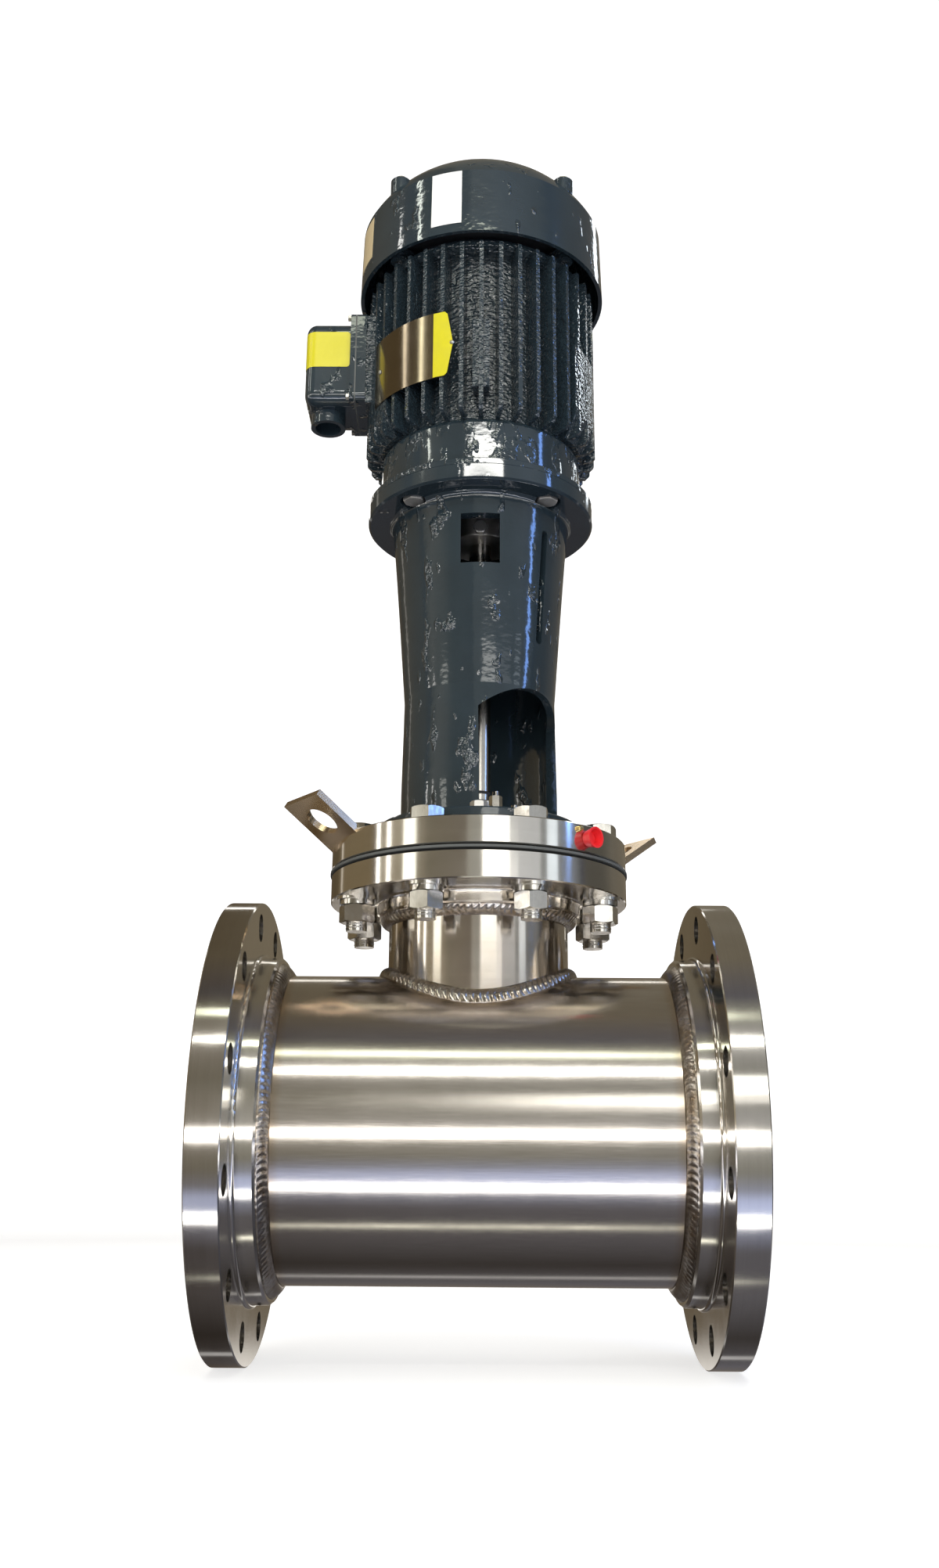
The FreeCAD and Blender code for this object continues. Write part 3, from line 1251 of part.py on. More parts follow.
for turn in EAR_TURNS:
    places.append(("ear_circle / 2 * sin(%s)" % turn, "-ear_circle / 2 * cos(%s)" % turn, "ear_seat_z", FLAT))
keep(spread("cover_screws", screw, places), "cover_screws")

# Terminal box on the left: base plate, gasket, box with its conduit entry, and corner screws.
def rounded(sketch, half, low, high, radius):
    """A rectangle with round corners, in a plane whose x is across and y is up."""
    outline(sketch, [
        ("-(%s) + %s" % (half, radius), low),
        ("%s - %s" % (half, radius), low),
        (half, "%s + %s" % (low, radius)),
        (half, "%s - %s" % (high, radius)),
        ("%s - %s" % (half, radius), high),
        ("-(%s) + %s" % (half, radius), high),
        ("-(%s)" % half, "%s - %s" % (high, radius)),
        ("-(%s)" % half, "%s + %s" % (low, radius)),
    ], arcs={1: radius, 3: radius, 5: radius, 7: radius})


def corner_holes(body, name, lift, radius, depth):
    for i, (side, end) in enumerate(((-1, 0), (1, 0), (1, 1), (-1, 1))):
        drill = sketch_on(body, "%s_%d_sketch" % (name, i + 1), "XZ_Plane", lift=lift, turn="-90")
        across = "%d * (box_half_y + box_rim_over - box_screw_in)" % side
        high = ("box_low_z - box_rim_under + box_screw_in", "box_high_z + box_rim_over - box_screw_in")[end]
        ring(drill, across, high, radius)
        feature(body, "Pocket", "%s_%d" % (name, i + 1), drill, Length=depth)


RIM_HALF = "box_half_y + box_rim_over"
RIM_LOW = "box_low_z - box_rim_under"
RIM_HIGH = "box_high_z + box_rim_over"
body = body_named("conduit_base")
base = sketch_on(body, "base_sketch", "XZ_Plane", lift="box_inner_x", turn="-90")
rounded(base, RIM_HALF, RIM_LOW, RIM_HIGH, "box_round / 2 + 1")
feature(body, "Pad", "base_pad", base, Length="box_base_thick")
way = sketch_on(body, "base_way_sketch", "XZ_Plane", lift="box_inner_x", turn="-90")
ring(way, ZERO, "box_middle_z", "wire_way_dia / 2")
feature(body, "Pocket", "base_way", way, Length="box_base_thick + 5", Reversed=True)
corner_holes(body, "base_tap", "box_inner_x + box_base_thick + 1", "box_screw_dia / 2", "box_screw_bite + 2")
keep(body, "conduit_base")
for label, low, tall in (
    ("conduit_gasket", "box_inner_x + box_base_thick", "box_gasket"),
    ("conduit_box", "box_inner_x + box_base_thick + box_gasket", "box_rim_thick"),
):
    body = body_named(label)
    rim = sketch_on(body, label + "_rim_sketch", "XZ_Plane", lift=low, turn="-90")
    rounded(rim, RIM_HALF, RIM_LOW, RIM_HIGH, "box_round / 2 + 1")
    feature(body, "Pad", label + "_rim", rim, Length=tall)
    if label == "conduit_box":
        shell = sketch_on(body, "shell_sketch", "XZ_Plane", lift=low, turn="-90")
        rounded(shell, "box_half_y", "box_low_z", "box_high_z", "box_round")
        crown = feature(body, "Pad", "shell", shell, Length="box_outer_x - (%s)" % low)
        doc.recompute()
        outer = number_of("box_outer_x")
        names = []
        for i, edge in enumerate(crown.Shape.Edges):
            box = edge.BoundBox
            if abs(box.XMin + outer) < 0.01 and abs(box.XMax + outer) < 0.01:
                names.append("Edge%d" % (i + 1))
        soft = body.newObject("PartDesign::Fillet", "shell_soft")
        soft.Base = (crown, names)
        tie(soft, "Radius", "box_soft")
        body.Tip = soft
        hub = sketch_on(body, "hub_sketch", "XY_Plane", lift="box_low_z - entry_hub_tall")
        ring(hub, "-entry_x", ZERO, "entry_hub_dia / 2")
        feature(body, "Pad", "entry_hub", hub, Length="entry_hub_tall + 2")
    hollow = sketch_on(body, label + "_hollow_sketch", "XZ_Plane", lift=low, turn="-90")
    rounded(hollow, "(box_half_y - box_skin)", "(box_low_z + box_skin)", "(box_high_z - box_skin)",
            "(box_round - box_skin)")
    depth = "box_outer_x - box_skin - (%s)" % low
    feature(body, "Pocket", label + "_hollow", hollow, Length=depth, Reversed=True)
    if label == "conduit_box":
        way = sketch_on(body, "entry_sketch", "XY_Plane", lift="box_low_z - entry_hub_tall - 1")
        ring(way, "-entry_x", ZERO, "entry_dia / 2")
        feature(body, "Pocket", "entry", way, Length="entry_hub_tall + 12", Reversed=True)
    corner_holes(body, label + "_hole", low + " + " + tall + " + 1",
                 "box_screw_dia / 2 + box_screw_play", "15")
    keep(body, label)
screw = hex_bolt("box_screw", "box_screw_hex", "box_screw_head", "box_screw_dia",
                 "(box_rim_thick + box_gasket + box_screw_bite)")
places = []
for side in (-1, 1):
    for high in ("box_low_z - box_rim_under + box_screw_in", "box_high_z + box_rim_over - box_screw_in"):
        places.append((
            "-(box_inner_x + box_base_thick + box_gasket + box_rim_thick)",
            "%d * (box_half_y + box_rim_over - box_screw_in)" % side,
            high,
            TURN(FreeCAD.Vector(0, 1, 0), -90),
        ))
keep(spread("conduit_screws", screw, places), "conduit_screws")


# Nameplate, its rivets and the bare stickers.
def sheet_piece(label, low_r, high_r, thick, az_low, sweep, low, high, trim=None):
    """A thin curved sheet on a cone about the shaft's axis, trimmed by an outline seen from outside."""
    body = body_named(label)
    turned(body, label + "_turn", [
        (low_r, low),
        ("(%s) + %s" % (low_r, thick), low),
        ("(%s) + %s" % (high_r, thick), high),
        (high_r, high),
    ], start="%s - 90" % az_low, sweep=sweep)
    if trim is not None:
        azimuth, points = trim
        cutter = sketch_on(body, label + "_trim_sketch", "XZ_Plane", lift="branch_od", turn=azimuth)
        outline(cutter, points)
        feature(body, "Pocket", label + "_trim", cutter, Length="branch_od")
    keep(body, label)


middle = "(plate_low_z + plate_high_z) / 2"
RIVET_TURNS = ("(1.8 - plate_az_low)", "(5.5 - plate_az_high)")
for label, low_r, thick, az_low, sweep, tail in (
    ("nameplate", "plate_r", "plate_thick", "-plate_az_high", "plate_az_high - plate_az_low + 4", 0),
    ("nameplate_label", "plate_r + plate_thick", "sticker_thick", "-plate_az_low - 7.5", "11.5", 0.6),
):
    body = body_named(label)
    turned(body, label + "_turn", [
        (low_r, "plate_low_z + %s" % tail),
        (low_r + " + " + thick, "plate_low_z + %s" % tail),
        (low_r + " + " + thick, "plate_high_z - %s" % tail),
        (low_r, "plate_high_z - %s" % tail),
    ], start=az_low + " - 90", sweep=sweep)
    for name, end, way in (("top", "plate_high_z", ""), ("foot", "plate_low_z", "-")):
        nip = sketch_on(body, "%s_%s_sketch" % (label, name), "XZ_Plane",
                        lift="branch_od", turn="-plate_az_low")
        near = "%s - (%s3.5)" % (end, way)
        outer = "%s + (%s4)" % (end, way)
        points = [("-4.5", outer), ("-4.5", end), ("-1", near), ("4.8", middle)]
        points += [("14", middle), ("14", outer)]
        if name == "foot":
            points.reverse()
        outline(nip, points)
        feature(body, "Pocket", "%s_%s" % (label, name), nip, Length="branch_od")
    for i, turn in enumerate(RIVET_TURNS[:2 if label == "nameplate" else 1]):
        drill = sketch_on(body, "%s_drill_%d_sketch" % (label, i + 1), "XZ_Plane",
                          lift="branch_od", turn=turn)
        ring(drill, ZERO, middle, "rivet_dia / 2 + rivet_play")
        feature(body, "Pocket", "%s_drill_%d" % (label, i + 1), drill, Length="branch_od")
    keep(body, label)
rivet = body_named("rivet")
turned(rivet, "rivet_turn", [
    ("0", "0"),
    ("rivet_dia / 2", "0"),
    ("rivet_dia / 2", "plate_thick + sticker_thick + plate_play"),
    ("rivet_head_dia / 2", "plate_thick + sticker_thick + plate_play"),
    ("rivet_head_dia / 2 - 0.7", "plate_thick + sticker_thick + plate_play + 1"),
    ("0", "plate_thick + sticker_thick + plate_play + 1.3"),
])
places = []
for turn in RIVET_TURNS:
    spin = facing(number_of(turn))
    places.append(("plate_r * sin(%s)" % turn, "-plate_r * cos(%s)" % turn, middle, spin))
keep(spread("nameplate_rivets", rivet, places), "nameplate_rivets")
for label, az_low, sweep, low, high in (
    ("cover_label", "-23", "14", "cover_low_z + 10", "cover_shoulder_z - 0.5"),
    ("side_sticker", "-77", "15", "cover_low_z + 19", "cover_shoulder_z - 5"),
):
    taper = "(cover_low_r - cover_high_r) / (cover_shoulder_z - cover_low_z)"
    low_r = "cover_low_r + sticker_play - (%s - cover_low_z) * " + taper
    sheet_piece(label, low_r % ("(" + low + ")"), low_r % ("(" + high + ")"), "sticker_thick", az_low, sweep,
                low, high)
body = body_named("box_label")
mark = sketch_on(body, "box_label_sketch", "XY_Plane", lift="box_middle_z - box_label_down")
outline(mark, [
    ("-(box_outer_x - box_label_long)", "-box_half_y"),
    ("-(box_outer_x - box_soft)", "-box_half_y"),
    ("-box_outer_x", "-(box_half_y - box_soft)"),
    ("-(box_outer_x + sticker_thick)", "-(box_half_y - box_soft)"),
    ("-(box_outer_x - box_soft)", "-(box_half_y + sticker_thick)"),
    ("-(box_outer_x - box_label_long)", "-(box_half_y + sticker_thick)"),
], arcs={1: "-box_soft", 3: "(box_soft + sticker_thick)"})
wrap = feature(body, "Pad", "box_label_pad", mark, Reversed=False,
               Length="box_high_z - box_label_in - box_middle_z + box_label_down")
doc.recompute()
end = -number_of("box_outer_x - box_label_long")
names = []
for i, edge in enumerate(wrap.Shape.Edges):
    box = edge.BoundBox
    if abs(box.XMin - end) < 0.01 and abs(box.XMax - end) < 0.01 and box.ZLength < 0.01:
        names.append("Edge%d" % (i + 1))
round_off = body.newObject("PartDesign::Fillet", "box_label_round")
round_off.Base = (wrap, names)
tie(round_off, "Radius", "box_label_corner")
body.Tip = round_off
keep(body, "box_label")

# Motor rotor: shaft, core, fan and its ring.
body = body_named("motor_shaft")
turned(body, "motor_shaft_turn", [
    ("0", "motor_shaft_low_z"),
    ("motor_shaft_dia / 2 - 1", "motor_shaft_low_z"),
    ("motor_shaft_dia / 2", "motor_shaft_low_z + 1"),
    ("motor_shaft_dia / 2", "motor_face_z + 26"),
    ("drive_bearing_bore / 2", "motor_face_z + 26"),
    ("drive_bearing_bore / 2", "drive_seat_z + drive_bearing_wide"),
    ("rotor_shaft_dia / 2", "drive_seat_z + drive_bearing_wide"),
    ("rotor_shaft_dia / 2", "frame_top_z - 4"),
    ("fan_bearing_bore / 2 + 3", "frame_top_z - 4"),
    ("fan_bearing_bore / 2 + 3", "fan_seat_z"),
    ("fan_bearing_bore / 2", "fan_seat_z"),
    ("fan_bearing_bore / 2", "fan_seat_z + fan_bearing_wide + 2"),
    ("fan_seat_dia / 2", "fan_seat_z + fan_bearing_wide + 2"),
    ("fan_seat_dia / 2", "motor_shaft_high_z - 1"),
    ("fan_seat_dia / 2 - 1", "motor_shaft_high_z"),
    ("0", "motor_shaft_high_z"),
])
way = sketch_on(body, "keyway_sketch", "XZ_Plane", lift="motor_shaft_dia / 2 - key_deep", turn="180")
outline(way, [
    ("-key_width / 2", "motor_shaft_low_z - 5"),
    ("key_width / 2", "motor_shaft_low_z - 5"),
    ("key_width / 2", "key_high_z"),
    ("-key_width / 2", "key_high_z"),
])
feature(body, "Pocket", "keyway", way, Length="20", Reversed=True)
keep(body, "motor_shaft")
body = body_named("rotor_core")
turned(body, "rotor_turn", [
    ("rotor_shaft_dia / 2", "core_low_z - 4"),
    ("core_bore - air_gap - 6", "core_low_z - 4"),
    ("core_bore - air_gap", "core_low_z"),
    ("core_bore - air_gap", "core_high_z"),
    ("core_bore - air_gap - 6", "core_high_z + 4"),
    ("rotor_shaft_dia / 2", "core_high_z + 4"),
])
keep(body, "rotor_core")
body = body_named("cooling_fan")
turned(body, "fan_turn", [
    ("fan_seat_dia / 2", "fan_low_z"),
    ("fan_r", "fan_low_z"),
    ("fan_r", "fan_low_z + 3"),
    ("fan_hub_r + 2", "fan_low_z + 5"),
    ("fan_hub_r", "fan_low_z + fan_tall"),
    ("fan_seat_dia / 2", "fan_low_z + fan_tall"),
])
vane = sketch_on(body, "vane_sketch", "XZ_Plane", turn="10")
outline(vane, [
    ("fan_hub_r - 2", "fan_low_z + 1"),
    ("fan_r - 1", "fan_low_z + 1"),
    ("fan_r - 1", "fan_low_z + fan_tall - 4"),
    ("fan_hub_r - 2", "fan_low_z + fan_tall - 1"),
])
blade = feature(body, "Pad", "vane", vane, Length="vane_thick", Midplane=True)
round_pattern(body, "vanes", [blade], "vane_count")
keep(body, "cooling_fan")

# Coupling sleeve with its key and clamp screws, and the mixer shaft with a wiper ring.
body = body_named("coupling_sleeve")
turned(body, "sleeve_turn", [
    ("shaft_dia / 2", "sleeve_low_z"),
    ("sleeve_r - 1", "sleeve_low_z"),
    ("sleeve_r", "sleeve_low_z + 1"),
    ("sleeve_r", "sleeve_high_z - 1"),
    ("sleeve_r - 1", "sleeve_high_z"),
    ("motor_shaft_dia / 2", "sleeve_high_z"),
    ("motor_shaft_dia / 2", "shaft_top_z + 0.5"),
    ("shaft_dia / 2", "shaft_top_z + 0.5"),
])
way = sketch_on(body, "sleeve_keyway_sketch", "XZ_Plane", lift="motor_shaft_dia / 2 - key_deep", turn="180")
outline(way, [
    ("-key_width / 2", "motor_shaft_low_z + key_start"),
    ("key_width / 2", "motor_shaft_low_z + key_start"),
    ("key_width / 2", "sleeve_high_z + 2"),
    ("-key_width / 2", "sleeve_high_z + 2"),
])
feature(body, "Pocket", "sleeve_keyway", way, Length="key_tall + key_play", Reversed=True)
for name, azimuth, high in (
    ("clamp_one", ZERO, "clamp_z"),
    ("clamp_two", "120", "clamp_z"),
    ("grip_one", "60", "grip_z"),
    ("grip_two", "300", "grip_z"),
):
    drill = sketch_on(body, name + "_sketch", "XZ_Plane", lift="sleeve_r + 1", turn=azimuth)
    ring(drill, ZERO, high, "clamp_dia / 2")
    feature(body, "Pocket", name, drill, Length="sleeve_r - shaft_dia / 4")
keep(body, "coupling_sleeve")
key = solid("Box", "coupling_key", {"Length": "key_width", "Width": "key_tall",
                                    "Height": "key_high_z - motor_shaft_low_z - key_start"},
            {"x": "face_to_face / 2 - key_width / 2", "y": "motor_shaft_dia / 2 - key_deep",
             "z": "motor_shaft_low_z + key_start"})
key.Label = "coupling_key"
NODES.append(("coupling_key", key))
clamp = hex_bolt("clamp_bolt", "clamp_hex", "clamp_head", "clamp_dia",
                 "(sleeve_r - shaft_dia / 2 - clamp_play)")
grip = hex_bolt("grip_bolt", "clamp_hex", "clamp_head", "clamp_dia",
                "(sleeve_r - motor_shaft_dia / 2 - clamp_play)")
clamps = []
for azimuth in (0, 120):
    clamps.append(("sleeve_r * sin(%d)" % azimuth, "-sleeve_r * cos(%d)" % azimuth, "clamp_z",
                   facing(azimuth)))
grips = []
for azimuth in (60, 300):
    grips.append(("sleeve_r * sin(%d)" % azimuth, "-sleeve_r * cos(%d)" % azimuth, "grip_z", facing(azimuth)))
screws = doc.addObject("Part::Compound", "coupling_screws")
screws.Links = [spread("clamp_set", clamp, clamps), spread("grip_set", grip, grips)]
keep(screws, "coupling_screws")
body = body_named("mixer_shaft")
turned(body, "mixer_shaft_turn", [
    ("0", "shaft_low_z"),
    ("shaft_dia / 2 - 1.5", "shaft_low_z"),
    ("shaft_dia / 2", "shaft_low_z + 1.5"),
    ("shaft_dia / 2", "groove_z"),
    ("shaft_dia / 2 - groove_depth", "groove_z"),
    ("shaft_dia / 2 - groove_depth", "groove_z + groove_width"),
    ("shaft_dia / 2", "groove_z + groove_width"),
    ("shaft_dia / 2", "shaft_top_z - 1"),
    ("shaft_dia / 2 - 1", "shaft_top_z"),
    ("0", "shaft_top_z"),
])
keep(body, "mixer_shaft")
body = body_named("wiper_ring")
turned(body, "wiper_turn", [
    ("shaft_dia / 2 - groove_depth", "groove_z + wiper_play"),
    ("shaft_dia / 2 - wiper_play", "groove_z + wiper_play"),
    ("shaft_dia / 2 - wiper_play", "groove_z + groove_width - wiper_play"),
    ("shaft_dia / 2 - groove_depth", "groove_z + groove_width - wiper_play"),
])
keep(body, "wiper_ring")

# Two pitched-blade impellers with their set screws.
studs = []
peg = body_named("impeller_peg")
turned(peg, "peg_turn", [
    ("0", "0"),
    ("peg_dia / 2", "0"),
    ("peg_dia / 2", "impeller_hub_r - shaft_dia / 2 - 1"),
    ("peg_dia / 4", "impeller_hub_r - shaft_dia / 2 - 1"),
    ("peg_dia / 4", "impeller_hub_r - shaft_dia / 2 - 5"),
    ("0", "impeller_hub_r - shaft_dia / 2 - 5"),
])
for label, middle_z in (("lower_impeller", "low_impeller_z"), ("upper_impeller", "high_impeller_z")):
    body = body_named(label)
    low = middle_z + " - impeller_hub_tall / 2"
    high = middle_z + " + impeller_hub_tall / 2"
    turned(body, label + "_hub", [
        ("shaft_dia / 2", low),
        ("impeller_hub_r - 2", low),
        ("impeller_hub_r", low + " + 2"),
        ("impeller_hub_r", high + " - 2"),
        ("impeller_hub_r - 2", high),
        ("shaft_dia / 2", high),
    ])
    blade = sketch_on(body, label + "_blade_sketch", "XZ_Plane",
                      lift="shaft_dia / 2 + 3", turn="0 * blade_pitch")
    wide = "blade_wide / 2"
    thick = "blade_thick / 2"
    tips = []
    for a, b in ((1, 1), (-1, 1), (-1, -1), (1, -1)):
        tips.append((
            "%d * %s * cos(blade_pitch) - %d * %s * sin(blade_pitch)" % (a, wide, b, thick),
            "%s + %d * %s * sin(blade_pitch) + %d * %s * cos(blade_pitch)" % (middle_z, a, wide, b, thick),
        ))
    outline(blade, tips)
    vane = feature(body, "Pad", label + "_blade", blade, Length="impeller_r - shaft_dia / 2 - 3")
    round_pattern(body, label + "_blades", [vane], "blade_count")
    for i, azimuth in enumerate(("peg_az", "peg_az + 180")):
        drill = sketch_on(body, "%s_peg_%d_sketch" % (label, i), "XZ_Plane",
                          lift="impeller_hub_r + 1", turn=azimuth)
        ring(drill, ZERO, middle_z, "peg_dia / 2")
        feature(body, "Pocket", "%s_peg_%d" % (label, i), drill, Length="impeller_hub_r - shaft_dia / 4")
        studs.append(("shaft_dia / 2 * sin(%s)" % azimuth, "-shaft_dia / 2 * cos(%s)" % azimuth, middle_z,
                      facing(number_of(azimuth))))
    keep(body, label)
keep(spread("impeller_screws", peg, studs), "impeller_screws")

doc.recompute()
os.makedirs("parts", exist_ok=True)
for label, item in NODES:
    shape = item.Shape
    print(label, item.State, shape.isValid(), round(shape.Volume), len(shape.Solids), shape.BoundBox)
    if shape.isNull() or not shape.isValid():
        raise RuntimeError("bad shape: " + label)
    shape.exportStep("parts/%s.step" % label)
for item in doc.Objects:
    if "Invalid" in item.State or "Error" in item.State:
        raise RuntimeError("bad object: " + item.Name)
print(len(NODES), "pieces")
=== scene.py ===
import math

import bmesh
import bpy
from mathutils import Matrix, Vector


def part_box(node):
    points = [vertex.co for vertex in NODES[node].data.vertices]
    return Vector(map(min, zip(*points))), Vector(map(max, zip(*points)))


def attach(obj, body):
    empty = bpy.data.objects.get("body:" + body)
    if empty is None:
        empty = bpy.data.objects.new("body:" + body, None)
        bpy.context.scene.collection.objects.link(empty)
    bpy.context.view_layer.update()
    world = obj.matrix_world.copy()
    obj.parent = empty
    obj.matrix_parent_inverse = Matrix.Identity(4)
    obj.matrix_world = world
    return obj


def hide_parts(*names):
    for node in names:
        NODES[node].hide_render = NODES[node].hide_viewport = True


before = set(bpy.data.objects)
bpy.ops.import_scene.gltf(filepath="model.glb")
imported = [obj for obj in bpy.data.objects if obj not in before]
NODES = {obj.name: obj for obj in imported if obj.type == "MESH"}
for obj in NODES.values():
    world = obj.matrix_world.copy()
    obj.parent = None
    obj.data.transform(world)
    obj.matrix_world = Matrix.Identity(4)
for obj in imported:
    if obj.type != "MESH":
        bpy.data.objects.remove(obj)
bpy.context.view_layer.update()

bl_info = {
    "name": "Inline mixer dressing",
    "version": (1, 0, 0),
    "blender": (4, 5, 0),
    "location": "3D View > Sidebar > Mixer",
    "description": "Finishes, weld beads, threads and studio for the flanged inline mixer",
    "category": "Object",
}

MM = 0.001
FACE_TO_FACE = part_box("outlet_flange")[1].x
SHAFT_X = FACE_TO_FACE / 2
RUN_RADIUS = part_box("run_pipe")[1].y
NOZZLE_RADIUS = (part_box("branch_nozzle")[1].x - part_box("branch_nozzle")[0].x) / 2
FLOOR_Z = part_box("inlet_flange")[0].z

# Above this height the pedestal's enamel lies smooth, and its ripples keep this share of their depth.
CALM_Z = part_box("pedestal")[1].z - 16.5 * MM
CALM_FADE = 1.0 * MM
CALM_SHARE = 0.1

# The camera, measured from the shaft's axis on the run's centreline.
CAMERA_SIDE = 0.42 * MM
CAMERA_BACK = 1320.55 * MM
CAMERA_HEIGHT = -48.02 * MM
CAMERA_PITCH = 0.2759
CAMERA_YAW = -0.0074
CAMERA_ROLL = 0.0067
CAMERA_FOCAL_PX = 1801.35
PHOTO_TALL_PX = 2004.0

# Beads by their corners, the root and the two toes: distance along the axis, then radius.
HUB_BEAD = ((49.2 * MM, 136.0 * MM), (49.0 * MM, 147.9 * MM), (58.7 * MM, 136.4 * MM))
FACE_BEAD = ((9.6 * MM, 138.2 * MM), (3.5 * MM, 138.15 * MM), (9.55 * MM, 133.3 * MM))
NECK_BEAD = ((191.2 * MM, 83.8 * MM), (191.0 * MM, 94.1 * MM), (181.4 * MM, 84.0 * MM))
MOUTH_BEAD = ((224.5 * MM, 85.4 * MM), (229.5 * MM, 85.4 * MM), (224.5 * MM, 81.7 * MM))

# Depths to which toes, ridges and roots are sunk into the steel that carries them.
SUNK = 0.2 * MM
ROOT_SUNK = 0.3 * MM

# Where heat has tinted the steel: by the hub's bead, this far from each face, and by the seam's bead, this
# far outside the nozzle. Between the two heights the seam's tint fades in.
HUB_BEAD_RUN = 56.0 * MM
SEAM_BEAD_OUT = 6.0 * MM
SEAM_FADE = (85.0 * MM, 95.0 * MM)

# Threads that show, with the circle of their axes, the azimuth of the first and the heights of their ends.
BOLT_THREADS = {
    "count": 8, "circle": 241.3 * MM, "azimuth": 22.5, "radius": 9.525 * MM,
    "pitch": 2.54 * MM, "ridge": 0.5 * MM, "low": 172.0 * MM, "high": 179.5 * MM,
}
GLAND_THREADS = {
    "count": 4, "circle": 76.0 * MM, "azimuth": 24.4, "radius": 3.175 * MM,
    "pitch": 1.27 * MM, "ridge": 0.3 * MM, "low": 303.8 * MM, "high": 308.3 * MM,
}

# The studio's walls as polished steel mirrors them: colours by the degrees above the horizon in front.
DARK_FLOOR = (0.06, 0.05, 0.045)
GREY_FLOOR = (0.15, 0.135, 0.14)
COOL_WALL = (0.46, 0.48, 0.66)
PALE_WALL = (0.52, 0.48, 0.43)
WARM_WALL = (0.33, 0.30, 0.24)
BROWN_CEILING = (0.22, 0.18, 0.125)
BROWN_BACK = (0.20, 0.15, 0.09)
WALLS = [
    (-180.0, BROWN_BACK), (-150.0, GREY_FLOOR), (-115.0, DARK_FLOOR), (-85.0, GREY_FLOOR),
    (-60.0, GREY_FLOOR), (-38.0, COOL_WALL), (-22.0, WARM_WALL), (2.0, PALE_WALL),
    (20.0, WARM_WALL), (40.0, PALE_WALL), (57.0, WARM_WALL), (65.0, GREY_FLOOR),
    (90.0, BROWN_CEILING), (150.0, BROWN_CEILING), (180.0, BROWN_BACK),
]
# Shades of the walls from left to right, by the sine of the angle to the side.
SIDES = [
    (-1.0, (1.06, 1.0, 0.84)), (-0.76, (1.03, 1.0, 0.89)), (-0.60, (0.55, 0.53, 0.46)),
    (-0.17, (0.45, 0.42, 0.38)), (-0.125, (0.93, 0.98, 1.0)), (0.40, (0.90, 0.98, 1.12)),
    (0.80, (0.86, 0.98, 1.19)), (0.92, (0.52, 0.60, 0.74)), (1.0, (0.52, 0.60, 0.74)),
]
# Bright bands in the walls: degrees above the horizon in front, half height in degrees, brightness, reach
# to the sides, colour. A band is full in its core, and fades out to its half height and past its reach.
BANDS = [
    (-76.0, 1.4, 3.0, 0.13, (1.0, 1.0, 0.85)),
    (-45.0, 3.0, 7.0, 1.0, (1.0, 1.0, 1.0)),
    (-38.0, 8.0, 0.45, 1.0, (0.55, 0.65, 1.0)),
    (-6.0, 3.6, 7.0, 1.0, (1.0, 0.97, 0.94)),
    (-136.0, 3.0, 0.5, 1.0, (1.0, 1.0, 1.0)),
    (-172.0, 2.5, 1.0, 1.0, (1.0, 0.98, 0.95)),
]
BAND_CORE = 0.4
BAND_FADE = 0.03
# Lamps: azimuth from the front in degrees, distance, height of the middle, width, tallness, glow, colour.
LAMP_AIM_Z = 0.40
LAMPS = [
    ("Front tube", 3.0, 2.31, 1.85, 1.60, 0.13, 18.0, (1.0, 0.99, 0.94)),
    ("Near tube", -2.0, 1.47, 1.85, 1.14, 0.14, 5.0, (0.95, 1.0, 0.80)),
    ("Front window", 15.5, 2.50, 0.57, 1.18, 0.30, 1.0, (1.0, 0.98, 0.94)),
    ("Front strip", 12.5, 2.50, 0.80, 0.84, 0.34, 3.0, (1.0, 1.0, 0.95)),
    ("Cool window", 71.0, 1.80, 1.345, 0.13, 1.29, 10.0, (0.20, 0.40, 1.0)),
    ("Right panel", 34.0, 2.50, 0.74, 1.10, 0.50, 0.5, (0.92, 0.95, 1.0)),
    ("Right cool panel", 56.0, 2.30, 0.70, 0.36, 0.50, 1.3, (0.80, 0.90, 1.0)),
    ("Left pane", -52.0, 1.90, 0.61, 0.34, 0.40, 2.4, (1.0, 1.0, 0.92)),
    ("Left window", -60.0, 1.90, 2.05, 0.08, 0.80, 12.0, (0.96, 1.0, 0.90)),
    ("Left tube", -80.0, 1.90, 0.58, 0.06, 0.50, 8.0, (1.0, 0.98, 0.94)),
    ("Left thin tube", -70.0, 1.90, 0.58, 0.08, 0.50, 5.0, (1.0, 0.98, 0.94)),
    ("Left high tube", -80.0, 1.90, 2.05, 0.08, 0.50, 10.0, (1.0, 0.98, 0.94)),
    ("Right rear window", 140.0, 1.90, 2.00, 0.26, 0.80, 7.0, (0.85, 0.93, 1.0)),
    ("Rear tube", 185.0, 2.31, 1.85, 1.70, 0.16, 2.4, (1.0, 0.98, 0.94)),
    ("Left rear window", -128.0, 1.90, 1.20, 0.12, 1.60, 0.6, (1.0, 0.95, 0.86)),
]
# Soft boxes that light the matt surfaces and leave no reflection: azimuth, distance, height, side, glow.
SOFT_BOXES = [
    ("Top soft box", 0.0, 0.05, 3.0, 3.6, 1.5),
    ("Front soft box", -12.0, 2.6, 1.9, 2.4, 1.6),
    ("Rear soft box", 168.0, 2.6, 1.9, 2.4, 1.1),
]

# The sweep: sides round the mixer, steps in each bend, radius of the lower bend, height of the wall, and
# radius of the holes at its two poles.
SWEEP_SIDES = 96
SWEEP_STEPS = 12
SWEEP_BEND = 0.5
SWEEP_WALL = 3.2
SWEEP_POLE = 1.0 * MM


# Settings that a user would change.
def length(label, text, amount):
    return bpy.props.FloatProperty(name=label, description=text, default=amount, min=0.0, unit="LENGTH")


def share(label, text, amount):
    return bpy.props.FloatProperty(
        name=label, description=text, default=amount, min=0.0, max=1.0, subtype="FACTOR"
    )


